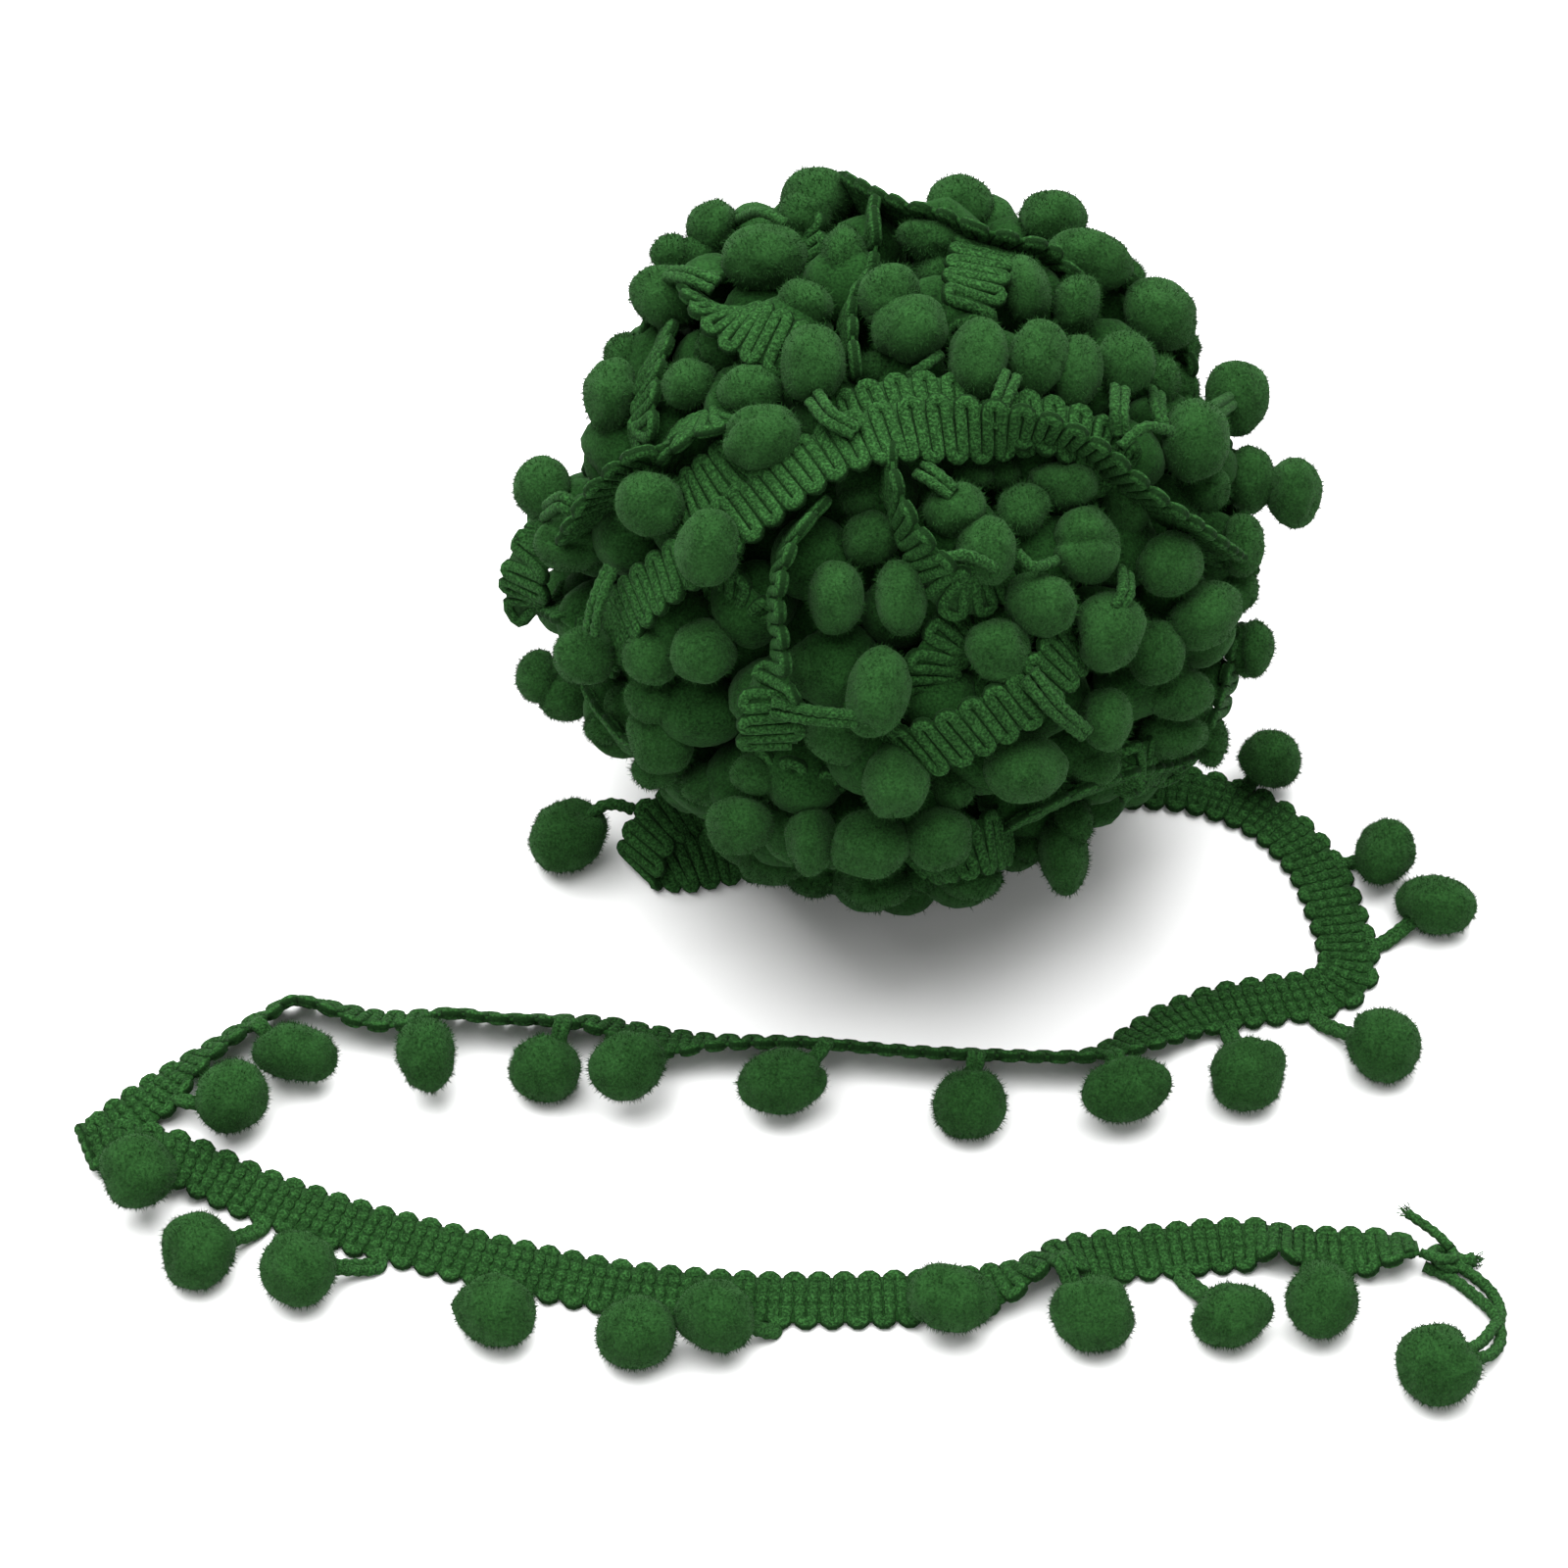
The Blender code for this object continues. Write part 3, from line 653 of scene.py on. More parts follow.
# %% Pompoms seen on the ball
SEEN_POMPOMS = (
    # x, y, wide, tall, turn, out
    (832, 204, 70, 70, 0, 54), (822, 220, 54, 50, 0, 52.5), (729, 232, 56, 56, 0, 54),
    (714, 260, 46, 46, 0, 51), (685, 258, 42, 40, 0, 53), (779, 262, 88, 68, 5, 54),
    (678, 303, 78, 66, -30, 54), (861, 262, 50, 60, 0, 52), (822, 312, 60, 50, -15, 51),
    (731, 355, 44, 48, 0, 50), (638, 362, 44, 48, 0, 51), (623, 404, 54, 74, -5, 53),
    (701, 391, 60, 54, 15, 52.5), (768, 399, 68, 56, 10, 53), (831, 374, 72, 82, 0, 55),
    (979, 208, 63, 56, 10, 53), (951, 247, 76, 46, -12, 52.5), (953, 279, 40, 48, 0, 49),
    (1047, 298, 54, 76, 0, 53), (1098, 311, 52, 64, 0, 52.5), (1073, 224, 72, 56, -5, 54),
    (1113, 265, 88, 62, -20, 55), (1150, 283, 36, 36, 0, 53), (1183, 321, 80, 68, -35, 55),
    (1204, 356, 38, 46, 0, 52), (906, 303, 66, 64, 0, 55), (929, 334, 82, 74, 0, 55),
    (997, 369, 64, 88, -5, 55), (1060, 370, 64, 78, 0, 54.5), (1094, 378, 60, 80, 0, 53.5),
    (1149, 371, 68, 76, 0, 54.5), (1186, 388, 36, 50, 0, 51.5), (1203, 396, 40, 46, 0, 50),
    (895, 376, 46, 40, 0, 48), (861, 300, 42, 42, 0, 47), (779, 447, 88, 66, 8, 55.5),
    (664, 514, 70, 68, 10, 56), (724, 559, 68, 82, -8, 57), (585, 556, 78, 62, 0, 52.5),
    (554, 500, 64, 68, 0, 55), (598, 669, 68, 60, 0, 55), (665, 672, 58, 60, 0, 53),
    (667, 712, 60, 54, 0, 51), (718, 666, 69, 69, 0, 52), (854, 610, 62, 78, 0, 52.5),
    (919, 610, 56, 80, 5, 52), (887, 548, 56, 58, 0, 49), (883, 510, 48, 34, 0, 48),
    (829, 683, 58, 64, 0, 49), (895, 708, 70, 104, -5, 55), (857, 754, 72, 54, 0, 50.5),
    (913, 797, 68, 84, 0, 55), (675, 752, 68, 76, 0, 51), (577, 711, 54, 52, 0, 53),
    (549, 690, 50, 58, 0, 53), (616, 735, 38, 42, 0, 50), (640, 720, 46, 46, 0, 49),
    (1219, 450, 68, 86, -10, 56), (1228, 497, 56, 52, 0, 52), (1273, 492, 54, 68, 0, 52),
    (970, 520, 68, 56, 8, 53), (1007, 562, 62, 72, 0, 54.5), (1044, 520, 55, 58, 0, 51.5),
    (1086, 494, 76, 50, -3, 52), (1147, 514, 52, 60, 0, 49.5), (1107, 556, 68, 75, 0, 53.5),
    (1194, 576, 71, 68, 0, 54), (1267, 556, 46, 64, 0, 55), (1258, 597, 50, 56, 0, 52),
    (1062, 618, 77, 66, -5, 53.5), (1020, 664, 67, 67, 0, 53.5), (1133, 643, 77, 80, 10, 55.5),
    (1230, 627, 84, 66, 30, 56), (1180, 668, 62, 66, 0, 53), (1277, 663, 44, 64, -15, 54),
    (1200, 707, 76, 58, 0, 53), (1128, 732, 55, 67, 0, 54.5), (1197, 749, 78, 54, 0, 53),
    (1236, 757, 34, 48, 0, 52), (1113, 778, 58, 48, 0, 50.5), (1045, 784, 81, 67, 0, 54.5),
    (961, 643, 46, 40, 0, 48), (1000, 702, 44, 44, 0, 48), (989, 486, 46, 32, 0, 48),
    (1022, 484, 42, 32, 0, 47.5), (972, 803, 46, 46, 0, 49), (1234, 692, 48, 52, 0, 50.5),
    (755, 842, 73, 62, 0, 55.5), (772, 790, 56, 46, 0, 50), (826, 856, 57, 77, 0, 54),
    (890, 863, 77, 74, 0, 55), (894, 904, 78, 50, 0, 52.5), (788, 882, 70, 44, 0, 51.5),
    (833, 898, 54, 34, 0, 51), (958, 856, 73, 66, 0, 54.5), (1084, 873, 54, 78, 12, 54),
    (1096, 838, 42, 52, 0, 51), (991, 898, 66, 44, 0, 53), (941, 893, 36, 32, 0, 51),
    (1050, 863, 38, 32, 0, 50), (722, 800, 52, 46, 0, 49), (670, 785, 50, 42, 0, 53),
    (617, 742, 40, 36, 0, 52), (1263, 408, 65, 77, -5, 54), (1321, 502, 57, 73, 0, 54),
)
MOST_DEEP = 11.5
seen = []
for px, py, wide, tall, turn, out in SEEN_POMPOMS:
    place = on_ball(px, py, out)
    wide, tall = size_at(place, wide), size_at(place, tall)
    seen.append((place, screen_axes(wide, tall, min(max(wide, tall), MOST_DEEP), turn)))
print("pompoms read from the photograph:", len(seen))

# %% [markdown]
# ## Ball: the bands of tape that show
# Rows of x, y, distance from the ball's centre, and how far the tape is turned from facing the viewer:
# at 0 its ribs show in full, near 90 it shows its edge as a twisted rope. The sign says which edge comes
# forward: the one on the left of the run where it is minus, the right one where it is plus. Each band
# dives under its neighbours at its ends.

# %% Bands seen on the ball
SEEN_BANDS = {
    "main arc": (
        (612, 668, 49, -30), (636, 630, 53, -30), (668, 597, 54.5, -32), (705, 570, 55, -32),
        (745, 536, 55.5, -30), (790, 500, 56, -30), (830, 471, 56.5, -30), (872, 450, 57, -28),
        (915, 440, 57, -20), (960, 438, 57, 0), (1010, 440, 57, 30), (1050, 442, 57, 52),
        (1088, 450, 57, 68), (1121, 466, 57, 76), (1150, 489, 57, 80), (1179, 513, 57, 82),
        (1207, 534, 56, 82), (1233, 556, 54, 80), (1256, 584, 50, 70),
    ),
    "under the arc": (
        (845, 445, 50, -25), (875, 425, 54, -25), (905, 414, 55, -25), (950, 410, 55, -25),
        (1000, 418, 54.5, -25), (1040, 427, 55, -25), (1085, 439, 55, -25), (1120, 458, 54.5, -15),
        (1150, 492, 50, 0),
    ),
    "left of the arc": (
        (672, 538, 48, -30), (700, 514, 52.5, -30), (731, 488, 54, -30), (762, 463, 53.5, -30),
        (786, 447, 49, -30),
    ),
    "left knuckle": (
        (672, 466, 50, -60), (693, 447, 54.5, -68), (715, 434, 55.5, -70), (740, 428, 54.5, -66),
        (762, 426, 50, -60),
    ),
    "left edge": (
        (588, 560, 50, 66), (599, 531, 54.5, 68), (618, 503, 56, 68), (644, 481, 56, 68),
        (668, 471, 55.5, 66), (695, 462, 51, 62),
    ),
    "rope": (
        (832, 520, 52, 82), (812, 545, 55.5, 82), (801, 568, 56.5, 82), (794, 595, 57, 82),
        (792, 623, 57, 82), (795, 651, 57, 82), (797, 670, 57.2, 80), (793, 690, 57.8, 60),
        (789, 705, 58, 25), (788, 722, 58, 0), (787, 745, 57.5, 0), (786, 768, 56, 0),
    ),
    "twisted piece": (
        (908, 466, 51, 84), (908, 484, 55, 84), (912, 503, 56.5, 80), (920, 526, 57, 76),
        (932, 550, 57, 70), (946, 572, 56.5, 60), (960, 592, 55.5, 48), (978, 604, 55, 40),
        (1000, 600, 54, 40), (1020, 584, 52, 40), (1030, 570, 49, 40),
    ),
    "lower band": (
        (898, 775, 49, 30), (928, 768, 54, 30), (962, 758, 56, 30), (992, 744, 56.5, 30),
        (1020, 729, 56.5, 30), (1048, 712, 56.5, 30), (1068, 692, 56, 30), (1086, 667, 54, 30),
        (1100, 640, 49, 30),
    ),
    "dark piece right of middle": (
        (924, 728, 46, 35), (938, 706, 50, 35), (950, 685, 51.5, 35), (962, 664, 51.5, 35),
        (978, 642, 50, 35), (994, 620, 46, 35),
    ),
    "dark piece at the foot": (
        (768, 786, 48, 45), (795, 795, 50.5, 45), (826, 803, 50.5, 45), (858, 814, 48, 45),
    ),
    "stacked edge 1": (
        (1040, 838, 49, 84), (1062, 826, 51, 84), (1095, 810, 51.5, 84), (1142, 794, 51.5, 84),
        (1185, 784, 50.5, 84), (1215, 772, 47, 84),
    ),
    "stacked edge 2": (
        (1128, 806, 47, 50), (1146, 796, 51, 50), (1168, 786, 51.5, 50), (1190, 778, 50.5, 50),
        (1208, 770, 47, 50),
    ),
    "right foot": (
        (1118, 800, 48, 40), (1145, 790, 52, 40), (1170, 778, 53, 40), (1195, 765, 52, 40),
        (1218, 746, 47, 40),
    ),
    "crown rope": (
        (850, 205, 50, 80), (866, 203, 52.5, 80), (884, 204, 54, 80), (903, 211, 54.5, 80),
        (931, 220, 55, 80), (952, 224, 55.5, 80), (976, 233, 55.5, 80), (998, 242, 55.5, 80),
        (1036, 252, 55, 80), (1061, 260, 54, 80), (1080, 276, 52.5, 80), (1094, 293, 49, 80),
    ),
    "crown drop": (
        (888, 222, 51, 84), (889, 236, 54, 84), (890, 255, 52.5, 82), (882, 284, 49.5, 82),
        (868, 315, 50.5, 84), (867, 345, 51.5, 84), (870, 378, 51.5, 84), (876, 400, 48, 84),
    ),
    "upper left piece": (
        (706, 300, 50, -75), (722, 311, 54, -72), (738, 320, 55.5, -50), (752, 328, 56, -25),
        (766, 336, 56.3, -10), (788, 347, 56, -10), (806, 358, 54.5, -10), (824, 374, 50, -10),
    ),
    "upper right piece": (
        (1008, 240, 50, -10), (1004, 254, 54.5, 0), (997, 279, 56, 0), (992, 303, 56, -20),
        (986, 326, 54.5, -45), (980, 345, 50, -60),
    ),
    "left column": (
        (676, 340, 48, 68), (674, 352, 51, 68), (669, 368, 52.5, 70), (662, 390, 53, 70),
        (658, 418, 53, 68), (655, 448, 52, 66), (654, 470, 48, 66),
    ),
    "left foot rope": (
        (596, 692, 46, 84), (606, 714, 50.5, 84), (618, 734, 51.5, 84), (638, 756, 52, 84),
        (658, 770, 51, 84), (680, 784, 47, 84),
    ),
    "left fan": (
        (577, 540, 49, 30), (553, 556, 53.5, 34), (539, 576, 55.5, 38), (536, 598, 56, 40),
        (543, 618, 54, 38), (558, 633, 47, 34),
    ),
    "behind the fan": ((618, 640, 46, 40), (598, 626, 49.5, 40), (578, 614, 50, 40), (560, 606, 48, 40)),
    "flap at the foot": (
        (930, 880, 50, 20), (955, 872, 53, 20), (985, 866, 54, 20), (1012, 858, 53, 20),
        (1030, 848, 49, 20),
    ),
    "below the arc": ((722, 588, 46, 45), (740, 604, 50, 45), (762, 624, 50, 45), (784, 644, 47, 45)),
    "right rim": (
        (1264, 636, 50, -75), (1259, 668, 54, -75), (1251, 703, 54.5, -75), (1240, 736, 53, -75),
        (1226, 764, 49, -75),
    ),
}
BAND_SLANT = -0.14


def band_lines(rows):
    """Middle line and direction across, from rows of a place and a turn from facing the viewer."""
    line = smooth_line(rows, LINE_STEP)
    middle = line[:, :3]
    turn = np.radians(line[:, 3:])
    along = heading(middle)
    facing = unit(along * (along @ FORWARD)[:, None] - FORWARD)
    across = np.cross(facing, along)
    return middle, unit(across * np.cos(turn) + facing * np.sin(turn))


seen_bands = []
for marks in SEEN_BANDS.values():
    seen_bands.append(band_lines([(*on_ball(px, py, out), turn) for px, py, out, turn in marks]))
front_tape = Heap()
tape_length = 0
for middle, way in seen_bands:
    tape_length += weave_tape(front_tape, middle, way, BALL_PINCH, slant=BAND_SLANT)
front_tape.make("ball_tape_front", yarn)
print("tape seen on the ball:", round(tape_length), "mm")

# %% [markdown]
# ## Ball: the rest of the surface
# The photograph shows one side. The far side is wound the same way, so bands start at points spread
# evenly over the back and run in drawn directions, and pompoms fill the surface between them. Under
# them lies a second layer in felt painted darker as shade, so that no gap looks into an empty ball.

# %% The ball's outline
OUTLINE = (
    # degrees from the right, counterclockwise, and pixels from the ball's middle
    (-180, 362), (-173, 390), (-160, 398), (-146, 360), (-134, 338), (-121, 346), (-110, 368), (-86, 375),
    (-72, 372), (-62, 336), (-46, 364), (-32, 390), (-24, 376), (-13, 374), (2, 385), (10, 394),
    (19, 362), (27, 354), (37, 384), (50, 372), (64, 386), (78, 372), (101, 384), (121, 386), (136, 362),
    (145, 335), (157, 328), (165, 328), (172, 384), (180, 362),
)


def shows_at(place):
    """Pixels right and up from where the ball's middle shows, and pixels for each millimetre there."""
    scale = FOCAL_PIXELS / ((place - EYE) @ FORWARD)
    middle_scale = FOCAL_PIXELS / ((BALL_CENTRE - EYE) @ FORWARD)
    right = (place - EYE) @ SCREEN_RIGHT * scale - (BALL_CENTRE - EYE) @ SCREEN_RIGHT * middle_scale
    up = (place - EYE) @ SCREEN_UP * scale - (BALL_CENTRE - EYE) @ SCREEN_UP * middle_scale
    return right, up, scale


def kept_inside(place, size):
    """The place of a pompom, drawn in where the pompom would stand out of the ball's outline."""
    right, up, scale = shows_at(place)
    far = math.hypot(right, up)
    limit = np.interp(math.degrees(math.atan2(up, right)), *zip(*OUTLINE))
    over = max(far + size * scale - limit, 0)
    return BALL_CENTRE + (place - BALL_CENTRE) * (1 - over / max(far, 1))


print("outline marks:", len(OUTLINE))

# %% Even directions and hidden bands
BAND_RADIUS = 53.0
HIDDEN_BANDS = 11
HIDDEN_BAND_LENGTH = 60.0
HIDDEN_BAND_STRETCH = (0.7, 1.2)
HIDDEN_FROM_Y = 0.1
HIDDEN_FROM_Z = -0.75
HIDDEN_SKIP = 0.4
BAND_STEP = 3.0
DIVE = 7.0
BAND_PROUD = -0.6
DIVE_FROM = 0.55
HIDDEN_BAND_HALF = 3.0


def even_directions(count):
    golden = math.pi * (3 - math.sqrt(5))
    for i in range(count):
        height = 1 - (2 * i + 1) / count
        ring = math.sqrt(1 - height**2)
        yield Vector((ring * math.cos(golden * i), ring * math.sin(golden * i), height))


def hidden_band_lines():
    draw = Random(7)
    bands = []
    for start in even_directions(4 * HIDDEN_BANDS):
        if start.y < HIDDEN_FROM_Y or start.z < HIDDEN_FROM_Z or draw.random() < HIDDEN_SKIP:
            continue
        side = start.cross(Vector([draw.uniform(-1, 1) for _ in range(3)])).normalized()
        arc = HIDDEN_BAND_LENGTH * draw.uniform(*HIDDEN_BAND_STRETCH)
        count = round(arc / BAND_STEP)
        turns = [(i / count - 0.5) * arc / BAND_RADIUS for i in range(count + 1)]
        bands.append(np.array([start * math.cos(t) + side * math.sin(t) for t in turns]))
    return bands[:HIDDEN_BANDS]


hidden_bands = hidden_band_lines()
back_tape = Heap()
back_bands = []
for number, directions in enumerate(hidden_bands):
    place = np.linspace(-1, 1, len(directions))
    out = BAND_RADIUS + BAND_PROUD - DIVE * np.clip(np.abs(place) - DIVE_FROM, 0, 1) / 0.45
    tip = 20 * math.sin(number * 2.3) + 35 * np.sin(place * 2.2 + number)
    sideways = np.cross(directions, np.roll(directions, 1, axis=0)[5])
    sway = sideways * 2.0 * np.sin(place * 3 + number)[:, None]
    wanted = BALL_CENTRE + directions * out[:, None] + sway
    places = [kept_inside(row, HIDDEN_BAND_HALF) for row in wanted]
    rows = np.concatenate((places, tip[:, None]), axis=1)
    line = smooth_line(rows, LINE_STEP)
    middle = line[:, :3]
    along = heading(middle)
    across = unit(np.cross(unit(middle - BALL_CENTRE), along))
    face = np.cross(along, across)
    lean = np.radians(line[:, 3:])
    way = unit(across * np.cos(lean) + face * np.sin(lean))
    back_bands.append((middle, way))
    weave_tape(back_tape, middle, way, BALL_PINCH, FEW_STEPS)
back_tape.make("ball_tape_back", yarn)
print("bands on the far side:", len(back_bands))

# %% Pompoms between
POMPOM_ACROSS = 12.0
POMPOM_RING = 51.5
FILLER_COUNT = 262
FILLER_CLEAR = 9.0
BAND_CLEAR = (8.0, 6.6)
FILLER_SIZES = (0.88, 1.05)
FILLER_SINK = (-2.0, 0.8)
SEEN_SINK = 2.5

seen_points = np.concatenate([middle[::3] for middle, _ in seen_bands])
back_points = np.concatenate([middle[::3] for middle, _ in back_bands])
taken = [place for place, _ in seen]
fillers = []
draw = Random(3)
for direction in even_directions(FILLER_COUNT):
    size = POMPOM_ACROSS / 2 * draw.uniform(*FILLER_SIZES)
    middle = BALL_CENTRE + np.array(direction) * (POMPOM_RING + draw.uniform(*FILLER_SINK))
    crowded = min(np.linalg.norm(middle - other) for other in taken) < FILLER_CLEAR
    taped = np.linalg.norm(seen_points - middle, axis=1).min() < BAND_CLEAR[0]
    taped = taped or np.linalg.norm(back_points - middle, axis=1).min() < BAND_CLEAR[1]
    if not crowded and not taped:
        taken.append(middle)
        seen_side = max(-np.array(direction) @ FORWARD, 0)
        sunk = middle - np.array(direction) * SEEN_SINK * min(seen_side * 4, 1)
        fillers.append((kept_inside(sunk, size), size))
print("pompoms between and behind:", len(fillers))

# %% Free axes for a pompom that nobody placed by eye
DENT_SPREAD = 0.9


def loose_axes(draw, size):
    """Three half sizes in drawn directions: a ball that is a little longer one way."""
    first = unit(draw.normal(size=3))
    second = unit(np.cross(first, draw.normal(size=3)))
    third = np.cross(first, second)
    long = first * size * draw.uniform(1.0, 1.12)
    short = second * size * draw.uniform(0.9, 1.02)
    return np.stack((long, short, third * size))


def inward_dent(draw, place):
    """Where the cord goes into a pompom of the ball: roughly on the ball's side."""
    outward = unit(place - BALL_CENTRE)
    return unit(-outward + draw.normal(size=3) * DENT_SPREAD)


# %% Outer pompoms
PIECE_POMPOMS = 60
RIM_FROM = 0.78
TAIL_FIBRES = 2600
RIM_FIBRES = 1700
INNER_FIBRES = 1200
BACK_FIBRES = 300

draw = np.random.default_rng(11)
outer = []
for place, axes in seen:
    rim = np.linalg.norm(np.cross(place - BALL_CENTRE, FORWARD)) / POMPOM_RING
    dent = inward_dent(draw, place)
    outer.append((place, axes, dent, RIM_FIBRES if rim > RIM_FROM else INNER_FIBRES))
for place, size in fillers:
    dent = inward_dent(draw, place)
    outer.append((place, loose_axes(draw, size), dent, BACK_FIBRES))
for first in range(0, len(outer), PIECE_POMPOMS):
    heap = Heap()
    for place, axes, dent, fibres in outer[first:first + PIECE_POMPOMS]:
        groove = 0.16 if draw.random() < 0.3 else 0.0
        add_pompom(heap, draw, place, axes, dent, fibres=fibres, groove=groove)
    heap.make(f"ball_pompoms_{first // PIECE_POMPOMS + 1}", felt)

# %% Second layer and heart
INNER_COUNT = 165
INNER_RADIUS = 46.5
HEART_RADIUS = 40.0

# The buried layer and the heart are drawn in the felt painted darker as shade.
inner = Heap()
for direction in even_directions(INNER_COUNT):
    place = BALL_CENTRE + np.array(direction) * (INNER_RADIUS + draw.uniform(-1.5, 1.5))
    size = POMPOM_ACROSS / 2 * draw.uniform(0.95, 1.1)
    place = kept_inside(place, size)
    add_pompom(inner, draw, place, loose_axes(draw, size), -np.array(direction), net=PLAIN_NET)
heart_axes = np.eye(3) * HEART_RADIUS
add_pompom(inner, draw, BALL_CENTRE, heart_axes, np.array((0.0, 0.0, 1.0)))
heart = inner.make("ball_inner_layer", shade_darkened_felt)
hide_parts("wound_ball")

# %% [markdown]
# ## Ball: cords
# A pair of cords leaves the tape's edge for every pompom. The ones that show are read from the
# photograph, and on the far side a pair is led from a band's edge to the nearest pompom.

# %% Cords on the ball
SEEN_CORDS = (
    # pair or single, then x, y and distance out of each mark
    (2, (830, 405, 57), (846, 425, 59), (874, 441, 58)),
    (2, (1032, 382, 58), (1023, 405, 59), (1011, 436, 57.5)),
    (2, (1143, 396, 57), (1142, 420, 58.5), (1144, 446, 57)),
    (1, (1196, 440, 60), (1168, 436, 60), (1143, 456, 58)),
    (2, (603, 645, 58), (610, 612, 58), (624, 578, 56)),
    (2, (556, 522, 57), (574, 512, 58), (594, 532, 55)),
    (2, (787, 722, 59.5), (830, 730, 59.5), (876, 734, 58.5)),
    (1, (959, 572, 59), (985, 566, 60), (1016, 579, 59)),
    (2, (938, 478, 56), (954, 488, 57.5), (972, 503, 57)),
    (1, (1038, 564, 56), (1055, 578, 57), (1078, 572, 55)),
    (2, (1148, 583, 55), (1149, 603, 58), (1140, 622, 58)),
    (2, (1050, 688, 57.5), (1077, 722, 58.5), (1108, 749, 58)),
    (1, (750, 226, 54), (775, 216, 56), (802, 228, 54)),
    (2, (730, 292, 56), (704, 281, 58), (682, 279, 58)),
    (2, (1226, 428, 57), (1240, 419, 57), (1256, 409, 56)),
    (2, (1280, 509, 55), (1296, 504, 56), (1312, 501, 56)),
    (1, (960, 362, 54), (944, 373, 55), (928, 384, 53)),
    (2, (1180, 400, 53), (1182, 420, 55), (1188, 440, 55)),
)
PAIR_GAP = 1.75


def lay_pair(heap, marks, out, number=2, gap=PAIR_GAP):
    """One cord, or two side by side, through the marks; out is the direction away from what carries them."""
    marks = np.array(marks, float)
    along = unit(marks[-1] - marks[0])
    side = unit(np.cross(along, out))
    for shift in (0.0,) if number == 1 else (-0.5, 0.5):
        close = np.linspace(1, 0.7, len(marks))[:, None]
        lay_cord(heap, marks + side * shift * gap * close, out)


ball_cords = Heap()
for number, *marks in SEEN_CORDS:
    places = [on_ball(*mark) for mark in marks]
    lay_pair(ball_cords, places, unit(places[1] - BALL_CENTRE), number)

HIDDEN_DEPTH = 12.0
CORD_EVERY = 22
CORD_REACH = 11
pompom_places = np.array([place for place, *_ in outer])
served = set()
for middle, way in back_bands:
    for i in range(8, len(middle) - 8, CORD_EVERY):
        for sign in (1, -1):
            edge = middle[i] + way[i] * sign * TAPE_WIDTH / 2
            gaps = np.linalg.norm(pompom_places - edge, axis=1)
            nearest = int(np.argmin(gaps))
            hidden = (edge - BALL_CENTRE) @ FORWARD >= HIDDEN_DEPTH
            if nearest in served or gaps[nearest] > CORD_REACH or not hidden:
                continue
            served.add(nearest)
            target = pompom_places[nearest]
            out = unit((edge + target) / 2 - BALL_CENTRE)
            start = edge - way[i] * sign * 1.5 + out * 0.6
            bow = (start + target) / 2 + out * 3.0
            lay_pair(ball_cords, (start, bow, target + out * 4.0), out)
ball_cords.make("ball_cords", cord_yarn)
print("cord pairs on the far side:", len(served))

# %% [markdown]
# ## Ball: the loop at the foot
# One turn of tape has slipped down. It comes out to the left, folds over and goes back under the ball in
# its own shade, and its pompom hangs on a single arched cord. Each row is a rib: where its outer and its
# inner end show and how high each is above the table.

# %% Foot loop
FOOT_RIBS = (
    # outer x, y, height, inner x, y, height
    (790, 803, 14, 786, 852, 6), (762, 803, 14, 764, 852, 6), (735, 803, 13.5, 744, 852, 6),
    (705, 804, 13, 722, 851, 6.5), (680, 808, 12, 707, 853, 7), (660, 813, 11, 696, 859, 7.5),
    (645, 825, 9.5, 689, 868, 7.5), (635, 841, 7.5, 684, 882, 6), (630, 855, 5, 678, 898, 3.5),
    (629, 863, 2.6, 675, 909, 1.3), (635, 861, 2.2, 684, 912, 0.6), (655, 856, 5, 698, 914, 0.5),
    (684, 848, 8, 714, 914, 0.5), (716, 842, 8.5, 735, 909, 0.5), (750, 838, 8.5, 760, 903, 0.5),
    (782, 836, 8.5, 788, 899, 0.5),
)
FOOT_POMPOM = np.array((-50.6, -15.9, 5.7))
FOOT_POMPOM_ACROSS = 11.5
FOOT_CORD = ((646, 826, 9.5), (630, 821, 10.5), (616, 822, 10.5), (604, 831, 9), (594, 842, 7))

outer_ends = np.array([over_table(*row[:3]) for row in FOOT_RIBS])
inner_ends = np.array([over_table(*row[3:]) for row in FOOT_RIBS])
rib_rows = np.concatenate(((outer_ends + inner_ends) / 2, inner_ends - outer_ends), axis=1)
ribs = smooth_line(rib_rows, LINE_STEP)
loop_line = ribs[:, :3]
loop_way = unit(ribs[:, 3:])
loop_line[:, 2] = np.maximum(loop_line[:, 2], np.abs(loop_way[:, 2]) * TAPE_WIDTH / 2 + 0.3)
foot_tape = Heap()
weave_tape(foot_tape, loop_line, loop_way, BALL_PINCH)
foot_tape.make("foot_loop_tape", yarn)
foot_cord = Heap()
lay_cord(foot_cord, [over_table(*mark) for mark in FOOT_CORD], (0, 0, 1), 1.9)
foot_cord.make("foot_loop_cord", cord_yarn)

foot_heap = Heap()
size = FOOT_POMPOM_ACROSS / 2
foot_axes = np.stack(((1.1 * size, 0.2, 0), (0, size, 0), (0, 0, 0.98 * size)))
add_pompom(foot_heap, draw, FOOT_POMPOM, foot_axes, unit(np.array((0.6, 0.2, 0.8))), fibres=TAIL_FIBRES)
foot_heap.make("foot_loop_pompom", felt)

# %% [markdown]
# ## Loose end: the tape
# The stations repeat the solid's own: place of the tape's middle, height of its lower edge, the compass
# angle in which its pompom edge faces, and how far that edge is tipped up. In the middle run the tape
# stands half on its edge, at the left it folds over itself, and it twists twice before the knot.

